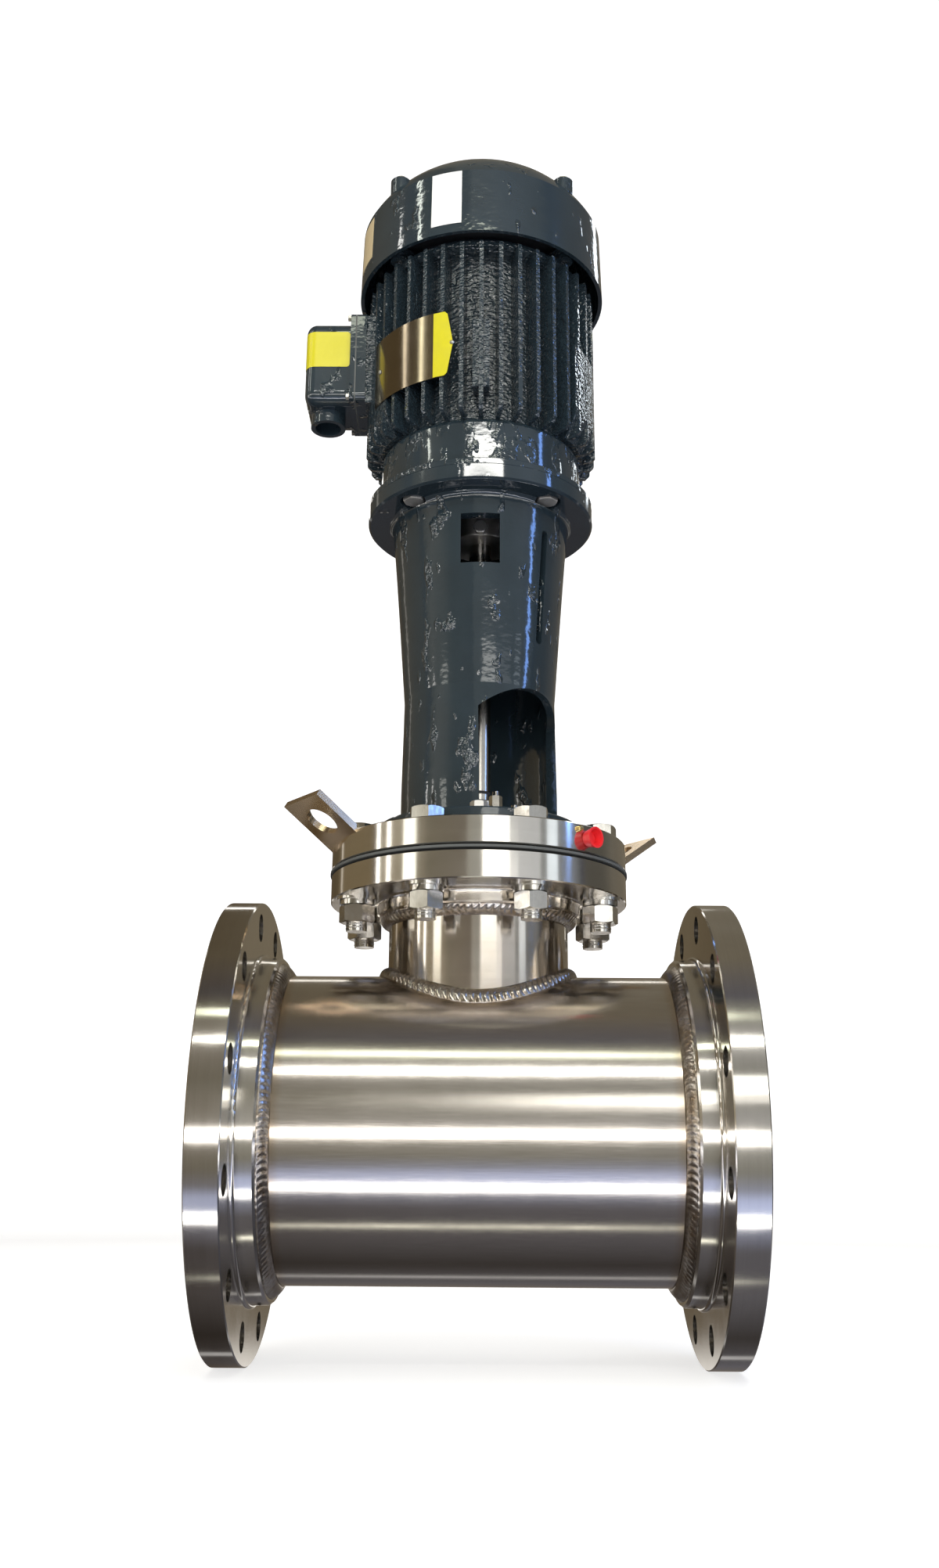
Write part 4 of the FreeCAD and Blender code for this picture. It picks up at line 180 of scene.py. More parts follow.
def strength(label, text):
    return bpy.props.FloatProperty(name=label, description=text, default=1.0, min=0.0)


def colour(label, text, rgb):
    return bpy.props.FloatVectorProperty(
        name=label, description=text, default=rgb, min=0.0, max=1.0, size=3, subtype="COLOR"
    )


class MixerSteel(bpy.types.PropertyGroup):
    run: colour("Pipe steel", "Polished tube of the run and the nozzle", (0.64, 0.60, 0.55))
    flange: colour("Flange steel", "Machined flanges and the mounting plate", (0.70, 0.67, 0.62))
    bolt: colour("Bolt steel", "Bolts, nuts and washers", (0.64, 0.62, 0.58))
    tint: colour("Heat tint", "Straw and brown left beside the welds", (0.46, 0.33, 0.19))
    # The lugs' warm brown is partly their own weld-browned tone and partly a painted reflection of a warm
    # floor.
    lug_tint_and_reflection: colour("Lug steel", "Lifting lugs, browned by their welds", (0.88, 0.68, 0.45))
    pale: colour("Pale hardware", "Plated screws of the base, motor and coupling", (0.84, 0.83, 0.80))
    plate: colour("Nameplate", "Bare metal of the nameplate", (0.24, 0.20, 0.14))
    run_rough: share("Pipe roughness", "Roughness of the polished tube", 0.14)
    flange_rough: share("Flange roughness", "Roughness of the turned flanges", 0.10)
    bolt_rough: share("Bolt roughness", "Roughness of bolts and nuts", 0.10)


class MixerPaint(bpy.types.PropertyGroup):
    enamel: colour("Enamel", "Blue-grey enamel of the motor and pedestal", (0.018, 0.029, 0.037))
    enamel_dust: colour("Dust", "Dry dust that dulls the enamel in patches", (0.060, 0.070, 0.070))
    gloss: share("Enamel roughness", "Roughness of the enamel where it is clean", 0.075)
    peel_size: length("Ripple size", "Width of the ripples in the enamel", 0.0058)
    peel_depth: length("Ripple depth", "Depth of the ripples in the enamel", 0.0030)


class MixerTrim(bpy.types.PropertyGroup):
    yellow: colour("Yellow label", "Film of the yellow labels", (0.60, 0.54, 0.005))
    white: colour("White label", "Film of the label on the cover", (0.80, 0.80, 0.78))
    beige: colour("Beige sticker", "Small sticker at the side of the cover", (0.62, 0.50, 0.30))
    red: colour("Plug", "Moulded plug in the flush port", (0.78, 0.025, 0.03))
    brass: colour("Vent screw", "Turned brass vent screw", (0.78, 0.56, 0.22))
    fibre: colour("Gasket", "Pressed fibre of the gaskets", (0.10, 0.105, 0.10))


class MixerInside(bpy.types.PropertyGroup):
    carbon: colour("Seal faces", "Lapped carbon of the seal's two faces", (0.045, 0.045, 0.048))
    rubber: colour("Seal rubber", "Bellows and wiper ring", (0.022, 0.022, 0.023))
    core: colour("Core", "Laminated cores of the stator and the rotor", (0.36, 0.37, 0.39))
    wire: colour("Windings", "Varnished wire at the core's ends", (0.42, 0.16, 0.05))
    fan: colour("Fan", "Moulded cooling fan", (0.035, 0.037, 0.04))


class MixerWelds(bpy.types.PropertyGroup):
    ripple_pitch: length("Ripple pitch", "Length of one ripple along a bead", 0.0062)
    ripple_height: length("Ripple height", "Height of a ripple above the bead", 0.0016)
    crown: length("Crown", "How far a bead stands out of a flat fillet", 0.0007)
    leg: length("Seam leg", "Leg of the bead along the seam of run and nozzle", 0.0085)


class MixerStage(bpy.types.PropertyGroup):
    floor: colour("Floor", "Pale floor and the sweep behind it", (0.90, 0.90, 0.90))
    reach: length("Sweep radius", "Radius of the pale sweep round the object", 3.4)
    glow: share("Sweep glow", "Light that the sweep gives off by itself", 0.72)
    lamps: strength("Lamps", "Strength of the lamps that polished parts mirror")
    boxes: strength("Soft boxes", "Strength of the soft boxes")
    sky: strength("Room light", "Strength of the light from the studio's walls")


# Node building.
def place(tree, kind, values=None, **settings):
    made = tree.nodes.new(kind)
    for key, value in settings.items():
        setattr(made, key, value)
    for key, value in (values or {}).items():
        if isinstance(value, bpy.types.NodeSocket):
            tree.links.new(value, made.inputs[key])
        else:
            made.inputs[key].default_value = value
    return made


def calc(tree, operation, first, second=None, clamp=False):
    values = {0: first}
    if second is not None:
        values[1] = second
    return place(tree, "ShaderNodeMath", values, operation=operation, use_clamp=clamp).outputs[0]


def scaled(tree, value, factor):
    return calc(tree, "MULTIPLY", value, factor)


def built_up(tree, start, *layers):
    """Add masks to a starting value. Each layer is a mask and its weight."""
    total = start
    for mask, weight in layers:
        total = calc(tree, "ADD", total, scaled(tree, mask, weight))
    return total


def radius_of(tree, first, second):
    """Distance from an axis, from the two parts across it."""
    squares = [scaled(tree, part, part) for part in (first, second)]
    return calc(tree, "SQRT", calc(tree, "ADD", *squares))


def blend_colour(tree, factor, first, second, mode="MIX"):
    made = place(tree, "ShaderNodeMix", data_type="RGBA", blend_type=mode)
    for index, value in ((0, factor), (6, first), (7, second)):
        if isinstance(value, bpy.types.NodeSocket):
            tree.links.new(value, made.inputs[index])
        elif index == 0:
            made.inputs[0].default_value = value
        else:
            made.inputs[index].default_value = (*value[:3], 1.0)
    return made.outputs[2]


def toned(rgb, factor):
    """The same colour, darker below 1 and lighter above it."""
    return tuple(channel * factor for channel in rgb[:3])


def mottle(tree, mask, rgb, dark, light):
    """One colour in two tones, from dark to light by the mask."""
    return blend_colour(tree, mask, toned(rgb, dark), toned(rgb, light))


def veil(tree, under, over, mask, weight):
    """Lay one colour over another where the mask is, as strongly as its weight."""
    return blend_colour(tree, scaled(tree, mask, weight), under, over)


def ramp(tree, factor, stops):
    made = place(tree, "ShaderNodeValToRGB", {"Fac": factor})
    band = made.color_ramp
    while len(band.elements) < len(stops):
        band.elements.new(0.5)
    for element, (spot, shade) in zip(band.elements, stops):
        element.position = spot
        element.color = (*shade, 1.0)
    return made.outputs["Color"]


def remap(tree, value, low, high, start=0.0, end=1.0):
    made = place(tree, "ShaderNodeMapRange", {"Value": value, "From Min": low, "From Max": high,
                                              "To Min": start, "To Max": end})
    made.clamp = True
    return made.outputs["Result"]


def split(tree, vector):
    return place(tree, "ShaderNodeSeparateXYZ", {"Vector": vector}).outputs


def stretch(tree, vector, scale):
    made = place(tree, "ShaderNodeVectorMath", {0: vector}, operation="MULTIPLY")
    if isinstance(scale, bpy.types.NodeSocket):
        tree.links.new(scale, made.inputs[1])
    else:
        made.inputs[1].default_value = scale
    return made.outputs[0]


def noise(tree, vector, scale, detail=3.0, rough=0.5):
    return place(tree, "ShaderNodeTexNoise", {"Vector": vector, "Scale": scale, "Detail": detail,
                                              "Roughness": rough}).outputs["Fac"]


def new_group(name, inputs, outputs):
    """An empty shader group with its sockets. An input is its name, kind and default."""
    tree = bpy.data.node_groups.new(name, "ShaderNodeTree")
    for label, kind, default in inputs:
        socket = tree.interface.new_socket(name=label, in_out="INPUT", socket_type="NodeSocket" + kind)
        socket.default_value = default
    for label, kind in outputs:
        tree.interface.new_socket(name=label, in_out="OUTPUT", socket_type="NodeSocket" + kind)
    return tree, tree.nodes.new("NodeGroupInput").outputs, tree.nodes.new("NodeGroupOutput").inputs


def use_group(tree, name, **values):
    made = tree.nodes.new("ShaderNodeGroup")
    made.node_tree = bpy.data.node_groups[name]
    for key, value in values.items():
        socket = made.inputs[key.replace("_", " ")]
        if isinstance(value, bpy.types.NodeSocket):
            tree.links.new(value, socket)
        else:
            socket.default_value = value
    return made.outputs


# Effects that several finishes share.
def build_turned_marks():
    """Fine rings left by a lathe. The turned axis is the position's z."""
    tree, given, out = new_group(
        "Turned marks",
        [("Position", "Vector", (0, 0, 0)), ("Pitch", "Float", 0.0006), ("Waviness", "Float", 0.4)],
        [("Height", "Float"), ("Shade", "Float")],
    )
    parts = split(tree, given["Position"])
    radius = radius_of(tree, parts["X"], parts["Y"])
    along = place(tree, "ShaderNodeCombineXYZ", {"X": radius, "Y": parts["Z"]}).outputs[0]
    rate = calc(tree, "DIVIDE", 1.0, given["Pitch"])
    fine = noise(tree, along, rate, detail=2.0, rough=0.6)
    broad = noise(tree, along, scaled(tree, rate, 0.09), detail=3.0, rough=0.55)
    patch = noise(tree, given["Position"], 38.0, detail=3.0)
    shade = built_up(tree, scaled(tree, fine, 0.5), (broad, 0.5))
    drift = calc(tree, "MULTIPLY", calc(tree, "SUBTRACT", patch, 0.5), given["Waviness"])
    tree.links.new(fine, out["Height"])
    tree.links.new(calc(tree, "ADD", shade, drift, clamp=True), out["Shade"])


def build_polished_grain():
    """Fine lines left by polishing belts, with clouds where the belt pressed less."""
    tree, given, out = new_group(
        "Polished grain",
        [("Position", "Vector", (0, 0, 0)), ("Stretch", "Vector", (1, 1, 1)), ("Cloud", "Float", 9.0)],
        [("Height", "Float"), ("Shade", "Float"), ("Cloudiness", "Float")],
    )
    drawn = stretch(tree, given["Position"], given["Stretch"])
    lines = noise(tree, drawn, 1.0, detail=5.0, rough=0.62)
    cloud = noise(tree, given["Position"], given["Cloud"], detail=4.0, rough=0.6)
    tree.links.new(lines, out["Height"])
    tree.links.new(lines, out["Shade"])
    tree.links.new(remap(tree, cloud, low=0.35, high=0.68), out["Cloudiness"])


def build_enamel_skin():
    """Sprayed enamel over a cast skin: soft waves, and patches of short ripples and dimples."""
    tree, given, out = new_group(
        "Enamel skin",
        [("Position", "Vector", (0, 0, 0)), ("Size", "Float", 0.003), ("Patches", "Float", 0.5)],
        [("Height", "Float"), ("Broad", "Float")],
    )
    rate = calc(tree, "DIVIDE", 1.0, given["Size"])
    flat = stretch(tree, given["Position"], (1.0, 1.0, 1.5))
    ripples = noise(tree, flat, rate, detail=1.0, rough=0.4)
    waves = noise(tree, given["Position"], scaled(tree, rate, 0.16), detail=2.0)
    tall = stretch(tree, given["Position"], (1.0, 1.0, 0.5))
    spread = noise(tree, tall, 58.0, detail=2.0)
    edge = calc(tree, "SUBTRACT", 0.78, scaled(tree, given["Patches"], 0.5))
    rippled = remap(tree, calc(tree, "SUBTRACT", spread, edge), low=0.0, high=0.06)
    deep = calc(tree, "MULTIPLY", ripples, built_up(tree, 0.04, (rippled, 0.96)))
    tree.links.new(built_up(tree, deep, (waves, 0.22)), out["Height"])
    tree.links.new(waves, out["Broad"])


def build_handling_marks():
    """Smears, dust and fingerprints as one mask, and the part of it on surfaces that face up."""
    tree, given, out = new_group(
        "Handling marks",
        [("Position", "Vector", (0, 0, 0)), ("Size", "Float", 0.05), ("Amount", "Float", 0.5)],
        [("Mask", "Float"), ("Settled", "Float")],
    )
    rate = calc(tree, "DIVIDE", 1.0, given["Size"])
    broad = noise(tree, given["Position"], rate, detail=5.0, rough=0.62)
    tall = stretch(tree, given["Position"], (1.0, 1.0, 0.35))
    wisps = noise(tree, tall, scaled(tree, rate, 3.3), detail=4.0)
    both = built_up(tree, scaled(tree, broad, 0.65), (wisps, 0.35))
    mask = calc(tree, "MULTIPLY", remap(tree, both, low=0.42, high=0.66), given["Amount"])
    up = split(tree, place(tree, "ShaderNodeNewGeometry").outputs["Normal"])["Z"]
    tree.links.new(mask, out["Mask"])
    tree.links.new(calc(tree, "MULTIPLY", remap(tree, up, low=0.5, high=1.0), mask), out["Settled"])


def build_weld_tint():
    """How strongly heat has coloured the steel, from the distance to the run's and nozzle's welds."""
    tree, given, out = new_group(
        "Weld tint",
        [("Position", "Vector", (0, 0, 0)), ("Reach", "Float", 0.012)],
        [("Mask", "Float")],
    )
    parts = split(tree, given["Position"])
    sideways = calc(tree, "ABSOLUTE", calc(tree, "SUBTRACT", parts["X"], SHAFT_X))
    to_hub = calc(tree, "ABSOLUTE", calc(tree, "SUBTRACT", sideways, SHAFT_X - HUB_BEAD_RUN))
    plan = radius_of(tree, sideways, parts["Y"])
    to_seam = calc(tree, "ABSOLUTE", calc(tree, "SUBTRACT", plan, NOZZLE_RADIUS + SEAM_BEAD_OUT))
    below = remap(tree, parts["Z"], *SEAM_FADE, start=1.0, end=0.0)
    near = calc(tree, "MINIMUM", to_hub, calc(tree, "ADD", to_seam, below))
    ragged = noise(tree, given["Position"], 60.0, detail=3.0)
    reach = calc(tree, "MULTIPLY", given["Reach"], built_up(tree, 0.6, (ragged, 0.6)))
    fade = calc(tree, "SUBTRACT", 1.0, calc(tree, "DIVIDE", near, reach), clamp=True)
    tree.links.new(fade, out["Mask"])


# Finishes.
def new_finish(name):
    """A material with its Principled shader, and the piece's own position."""
    made = bpy.data.materials.new(name)
    made.use_nodes = True
    tree = made.node_tree
    shader = tree.nodes["Principled BSDF"]
    spot = place(tree, "ShaderNodeTexCoord").outputs["Object"]
    return made, tree, shader, spot


def feed(tree, shader, **sockets):
    for key, value in sockets.items():
        socket = shader.inputs[key.replace("_", " ")]
        if isinstance(value, bpy.types.NodeSocket):
            tree.links.new(value, socket)
        else:
            socket.default_value = (*value[:3], 1.0) if isinstance(value, (tuple, list)) else value


def emboss(tree, shader, height, depth, strength):
    made = place(tree, "ShaderNodeBump", {"Height": height, "Distance": depth, "Strength": strength})
    tree.links.new(made.outputs["Normal"], shader.inputs["Normal"])


def brush(tree, shader, axis, amount):
    """Stretch the highlights across marks that run round this axis."""
    round_it = place(tree, "ShaderNodeTangent", direction_type="RADIAL", axis=axis)
    tree.links.new(round_it.outputs["Tangent"], shader.inputs["Tangent"])
    feed(tree, shader, Anisotropic=amount, Anisotropic_Rotation=0.25)


def about_shaft(tree, spot):
    """The position measured from the shaft's axis."""
    made = place(tree, "ShaderNodeVectorMath", {0: spot}, operation="SUBTRACT")
    made.inputs[1].default_value = (SHAFT_X, 0.0, 0.0)
    return made.outputs[0]


def about_run(tree, spot):
    """The position with the run's axis turned to z."""
    parts = split(tree, spot)
    turned = {"X": parts["Y"], "Y": parts["Z"], "Z": parts["X"]}
    return place(tree, "ShaderNodeCombineXYZ", turned).outputs[0]


def finish_run_steel(name, care, stretch_by, axis):
    """Polished steel: belt lines, cloudy patches and heat tint by the welds."""
    made, tree, shader, spot = new_finish(name)
    grain = use_group(tree, "Polished grain", Position=spot, Stretch=stretch_by, Cloud=11.0)
    marks = use_group(tree, "Handling marks", Position=spot, Size=0.06, Amount=0.55)
    heat = use_group(tree, "Weld tint", Position=spot, Reach=0.012)
    base = mottle(tree, grain["Shade"], care.run, dark=0.82, light=1.10)
    cloudy = veil(tree, base, toned(care.run, 0.80), grain["Cloudiness"], weight=0.25)
    tinted = veil(tree, cloudy, care.tint, heat["Mask"], weight=0.6)
    rough = built_up(tree, care.run_rough,
                     (grain["Shade"], 0.06), (grain["Cloudiness"], 0.03), (marks["Mask"], 0.06))
    feed(tree, shader, Base_Color=tinted, Metallic=1.0, Roughness=rough)
    brush(tree, shader, axis, amount=0.75)
    emboss(tree, shader, grain["Height"], depth=0.03 * MM, strength=0.4)
    return made


def finish_turned_steel(name, rgb, rough, axis="shaft", pitch=0.8 * MM, tint=None):
    """Turned steel: lathe rings about the run's or the shaft's axis, and heat tint where one is given."""
    made, tree, shader, spot = new_finish(name)
    centred = about_run(tree, spot) if axis == "run" else about_shaft(tree, spot)
    rings = use_group(tree, "Turned marks", Position=centred, Pitch=pitch, Waviness=0.5)
    marks = use_group(tree, "Handling marks", Position=spot, Size=0.045, Amount=0.5)
    base = mottle(tree, rings["Shade"], rgb, dark=0.82, light=1.05)
    worn = veil(tree, base, toned(rgb, 0.62), marks["Mask"], weight=0.25)
    if tint is not None:
        heat = use_group(tree, "Weld tint", Position=spot, Reach=0.009)
        worn = veil(tree, worn, tint, heat["Mask"], weight=0.5)
    rough = built_up(tree, rough, (rings["Shade"], 0.05), (marks["Mask"], 0.08))
    feed(tree, shader, Base_Color=worn, Metallic=1.0, Roughness=rough)
    brush(tree, shader, "X" if axis == "run" else "Z", amount=0.7)
    emboss(tree, shader, rings["Height"], depth=0.02 * MM, strength=0.4)
    return made


def finish_weld(name, care):
    """Bead metal: bright steel with brown heat tint in small random patches, and fine specks."""
    made, tree, shader, spot = new_finish(name)
    marks = use_group(tree, "Handling marks", Position=spot, Size=0.012, Amount=0.9)
    speck = noise(tree, spot, 900.0, detail=3.0)
    base = veil(tree, toned(care.run, 0.72), toned(care.tint, 0.6), marks["Mask"], weight=0.9)
    feed(tree, shader, Base_Color=base, Metallic=1.0, Roughness=built_up(tree, 0.14, (speck, 0.16)))
    emboss(tree, shader, speck, depth=0.12 * MM, strength=0.6)
    return made


def finish_fastener(name, rgb, rough, grime=0.4):
    """Rolled and plated hardware with small dents and grime in random patches."""
    made, tree, shader, spot = new_finish(name)
    grain = use_group(tree, "Polished grain", Position=spot, Stretch=(1400.0, 1400.0, 240.0), Cloud=70.0)
    marks = use_group(tree, "Handling marks", Position=spot, Size=0.014, Amount=0.7)
    base = mottle(tree, grain["Shade"], rgb, dark=0.88, light=1.0)
    grimy = veil(tree, base, toned(rgb, 0.42), marks["Mask"], weight=grime)
    rough = built_up(tree, rough, (grain["Cloudiness"], 0.07), (marks["Mask"], 0.14))
    feed(tree, shader, Base_Color=grimy, Metallic=1.0, Roughness=rough)
    emboss(tree, shader, grain["Height"], depth=0.02 * MM, strength=0.4)
    return made


def finish_enamel(name, care, patches, dust, cast, calm=None, fine=1.0):
    """Glossy enamel: waves, patches of ripples over the casting, and thin dust.

    Patches is how far the ripples spread, cast scales their depth and fine their width. Above the calm
    height the enamel lies smooth.
    """
    made, tree, shader, spot = new_finish(name)
    skin = use_group(tree, "Enamel skin", Position=spot, Size=care.peel_size * fine, Patches=patches)
    marks = use_group(tree, "Handling marks", Position=spot, Size=0.05, Amount=dust)
    base = mottle(tree, skin["Broad"], care.enamel, dark=0.80, light=1.20)
    dusty = veil(tree, base, care.enamel_dust, marks["Mask"], weight=0.10)
    settled = veil(tree, dusty, care.enamel_dust, marks["Settled"], weight=0.6)
    rough = built_up(tree, care.gloss, (marks["Mask"], 0.12))
    feed(tree, shader, Base_Color=settled, Roughness=rough, Specular_IOR_Level=0.85)
    height = skin["Height"]
    if calm is not None:
        kept = remap(tree, split(tree, spot)["Z"], calm, calm + CALM_FADE, start=1.0, end=CALM_SHARE)
        height = calc(tree, "MULTIPLY", height, kept)
    emboss(tree, shader, height, depth=care.peel_depth * cast, strength=0.9)
    return made


def finish_film(name, rgb):
    """Printed film: faint fibres, soft wrinkles and rubbed patches."""
    made, tree, shader, spot = new_finish(name)
    marks = use_group(tree, "Handling marks", Position=spot, Size=0.02, Amount=0.7)
    wrinkle = noise(tree, spot, 120.0, detail=3.0, rough=0.55)
    base = mottle(tree, wrinkle, rgb, dark=0.93, light=1.0)
    rubbed = veil(tree, base, toned(rgb, 0.6), marks["Mask"], weight=0.25)
    rough = built_up(tree, 0.28, (marks["Mask"], 0.30))
    feed(tree, shader, Base_Color=rubbed, Roughness=rough, Coat_Weight=0.25)
    emboss(tree, shader, wrinkle, depth=0.2 * MM, strength=0.35)
    return made


def finish_moulded(name, rgb, rough, size=1.2 * MM):
    """Moulded or lapped material with a fine even skin and slight mottling."""
    made, tree, shader, spot = new_finish(name)
    skin = use_group(tree, "Enamel skin", Position=spot, Size=size, Patches=0.2)
    marks = use_group(tree, "Handling marks", Position=spot, Size=0.02, Amount=0.6)
    base = mottle(tree, skin["Broad"], rgb, dark=0.86, light=1.08)
    dull = veil(tree, base, toned(rgb, 0.6), marks["Mask"], weight=0.20)
    feed(tree, shader, Base_Color=dull, Roughness=built_up(tree, rough, (marks["Mask"], 0.2)))
    emboss(tree, shader, skin["Height"], depth=0.08 * MM, strength=0.5)
    return made


def finish_laminations(name, rgb):
    """Stacked sheets seen edge-on, as thin dark lines across the axis."""
    made, tree, shader, spot = new_finish(name)
    sheets = scaled(tree, split(tree, spot)["Z"], 1600.0)
    line = calc(tree, "PINGPONG", sheets, 1.0)
    marks = use_group(tree, "Handling marks", Position=spot, Size=0.02, Amount=0.6)
    base = mottle(tree, line, rgb, dark=0.45, light=1.0)
    feed(tree, shader, Base_Color=base, Metallic=1.0, Roughness=built_up(tree, 0.36, (marks["Mask"], 0.2)))
    emboss(tree, shader, line, depth=0.2 * MM, strength=0.5)
    return made


def finish_windings(name, rgb):
    """Varnished copper wire wound round the core's ends."""
    made, tree, shader, spot = new_finish(name)
    drawn = stretch(tree, about_shaft(tree, spot), (260.0, 260.0, 1500.0))
    wires = noise(tree, drawn, 1.0, detail=3.0)
    base = mottle(tree, wires, rgb, dark=0.5, light=1.0)
    feed(tree, shader, Base_Color=base, Roughness=built_up(tree, 0.25, (wires, 0.2)), Coat_Weight=0.5)
    emboss(tree, shader, wires, depth=0.6 * MM, strength=0.7)
    return made


def dress(names, material):
    """Give the CAD nodes this finish."""
    for name in names.split():
        node = NODES[name]
        if not node.material_slots:
            node.data.materials.append(material)
        for held in node.material_slots:
            held.material = material


# Mesh pieces.
def piece_from(name, mesh, material, body="housing", replaced=()):
    """Make an object of a bmesh, ride it on its body and give it its finish."""
    data = bpy.data.meshes.new(name)
    bmesh.ops.recalc_face_normals(mesh, faces=mesh.faces)
    mesh.to_mesh(data)
    mesh.free()
    data.materials.append(material)
    data.shade_smooth()
    made = bpy.data.objects.new(name, data)
    bpy.context.scene.collection.objects.link(made)
    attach(made, body)
    if replaced:
        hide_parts(*replaced)


def loft(mesh, rings, closed=True):
    """Skin a list of rings of points. The last ring joins the first, or both get end caps."""
    rows = [[mesh.verts.new(point) for point in ring] for ring in rings]
    count = len(rows)
    size = len(rows[0])
    for i in range(count if closed else count - 1):
        near = rows[i]
        far = rows[(i + 1) % count]
        for j in range(size):
            k = (j + 1) % size
            mesh.faces.new((near[j], near[k], far[k], far[j]))
    if not closed:
        mesh.faces.new(rows[0])
        mesh.faces.new(reversed(rows[-1]))


def bead_rings(path, care, lift, steps=9):
    """Rings of a fillet bead. The path gives the root and the two toes of each station, in metres.

    Lift scales the ripples and the slow swells of the crown along the bead.
    """
    middles = [(first + second) / 2 for root, first, second in path]
    travelled = [0.0]
    for near, far in zip(middles, middles[1:] + middles[:1]):
        travelled.append(travelled[-1] + (far - near).length)
    ripples = round(travelled[-1] / care.ripple_pitch)
    lean = 0.55
    rings = []
    for (root, first, second), middle, along in zip(path, middles, travelled):
        way = along / travelled[-1]
        outward = (middle - root).normalized()
        slow = 0.30 * math.sin(14.0 * math.pi * way)
        quick = 0.25 * math.sin(46.0 * math.pi * way + 1.0)
        swell = 1.0 + lift * (slow + quick)
        ring = [root]
        for i in range(steps + 1):
            across = i / steps
            bow = math.sin(math.pi * across)
            phase = way * ripples + lean * bow
            step = phase - math.floor(phase)
            crest = 1.0 - (2.0 * step - 1.0) ** 2
            rise = care.crown * swell * bow + lift * care.ripple_height * bow * crest
            ring.append(first.lerp(second, across) + outward * rise)
        rings.append(ring)
    return rings


def round_path(centre, axis, corners, stations):
    """A bead path round an axis, from the bead's corners."""
    path = []
    for i in range(stations):
        turn = 2.0 * math.pi * i / stations
        if axis == "x":
            out = Vector((0.0, math.cos(turn), math.sin(turn)))
            way = Vector((1.0, 0.0, 0.0))
        else:
            out = Vector((math.cos(turn), math.sin(turn), 0.0))
            way = Vector((0.0, 0.0, 1.0))
        path.append([centre + way * run + out * radius for run, radius in corners])
    return path


def seam_path(leg, stations):
    """The seam's path: the root is where the tubes meet, one toe on the nozzle and one on the run."""
    path = []
    centre = Vector((SHAFT_X, 0.0, 0.0))
    for i in range(stations):
        turn = 2.0 * math.pi * i / stations
        out = Vector((math.sin(turn), -math.cos(turn), 0.0))
        high = math.sqrt(RUN_RADIUS ** 2 - (NOZZLE_RADIUS * math.cos(turn)) ** 2)
        slope = NOZZLE_RADIUS * math.cos(turn) ** 2 / high
        reach = NOZZLE_RADIUS + leg / math.sqrt(1.0 + slope * slope)
        foot = math.sqrt(RUN_RADIUS ** 2 - (reach * math.cos(turn)) ** 2)
        root = centre + out * (NOZZLE_RADIUS - ROOT_SUNK) + Vector((0.0, 0.0, high - ROOT_SUNK))
        upper = centre + out * (NOZZLE_RADIUS - SUNK) + Vector((0.0, 0.0, high + leg))
        lower = centre + out * reach + Vector((0.0, 0.0, foot - SUNK))
        path.append((root, upper, lower))
    return path


def thread_rings(centre, radius, low, high, pitch, ridge, per_turn=20, run_out=6.0):
    """Rings of a helical thread ridge. It fades over the run-out's steps at both ends."""
    rings = []
    turns = (high - low - pitch) / pitch
    count = int(turns * per_turn)
    root = pitch * 0.42
    crest = pitch * 0.06
    for i in range(count + 1):
        turn = 2.0 * math.pi * i / per_turn
        rise = low + pitch * 0.5 + pitch * i / per_turn
        fade = min(1.0, i / run_out, (count - i) / run_out)
        tip = radius + ridge * max(fade, 0.05)
        out = Vector((math.cos(turn), math.sin(turn), 0.0))
        corners = [(radius - SUNK, -root), (tip, -crest), (tip, crest), (radius - SUNK, root)]
        rings.append([centre + out * reach + Vector((0.0, 0.0, rise + up)) for reach, up in corners])
    return rings


def on_shaft_circle(radius, azimuth):
    turn = math.radians(azimuth)
    return Vector((SHAFT_X + radius * math.sin(turn), -radius * math.cos(turn), 0.0))


# Beads and threads.
def hub_path(side, corners, stations):
    """A round path about the run. Its corners are measured from the face of the flange on this side."""
    if side == "outlet":
        corners = [(FACE_TO_FACE - run, radius) for run, radius in corners]
    return round_path(Vector((0.0, 0.0, 0.0)), "x", corners, stations)


def lay_bead(mesh, path, care, lift=1.0):
    """Lay one bead. Lift scales its ripples."""
    loft(mesh, bead_rings(path, care, lift))


def lay_run_beads(care):
    """Ripple beads outside each hub and inside each flange face."""
    mesh = bmesh.new()
    for side in ("inlet", "outlet"):
        lay_bead(mesh, hub_path(side, HUB_BEAD, stations=1560), care, lift=0.35)
        lay_bead(mesh, hub_path(side, FACE_BEAD, stations=900), care, lift=0.35)
    return mesh


def lay_nozzle_beads(care):
    """Ripple beads above and below the branch flange."""
    mesh = bmesh.new()
    centre = Vector((SHAFT_X, 0.0, 0.0))
    lay_bead(mesh, round_path(centre, "z", NECK_BEAD, stations=960), care, lift=0.7)
    lay_bead(mesh, round_path(centre, "z", MOUTH_BEAD, stations=480), care)
    return mesh


def lay_seam_bead(care):
    """The ripple bead along the seam of nozzle and run."""
    mesh = bmesh.new()
    lay_bead(mesh, seam_path(care.leg, stations=980), care)
    return mesh


def weld_piece(name, mesh, plain):
    """Put these beads in the place of a plain weld node."""
    piece_from(name, mesh, bpy.data.materials["Weld metal"], replaced=[plain])


def cut_threads(count, circle, azimuth, radius, pitch, ridge, low, high):
    """Thread ridges on the ends of the studs or bolts of one circle."""
    mesh = bmesh.new()
    for i in range(count):
        centre = on_shaft_circle(circle / 2, azimuth + 360.0 / count * i)
        loft(mesh, thread_rings(centre, radius, low, high, pitch, ridge), closed=False)
    return mesh


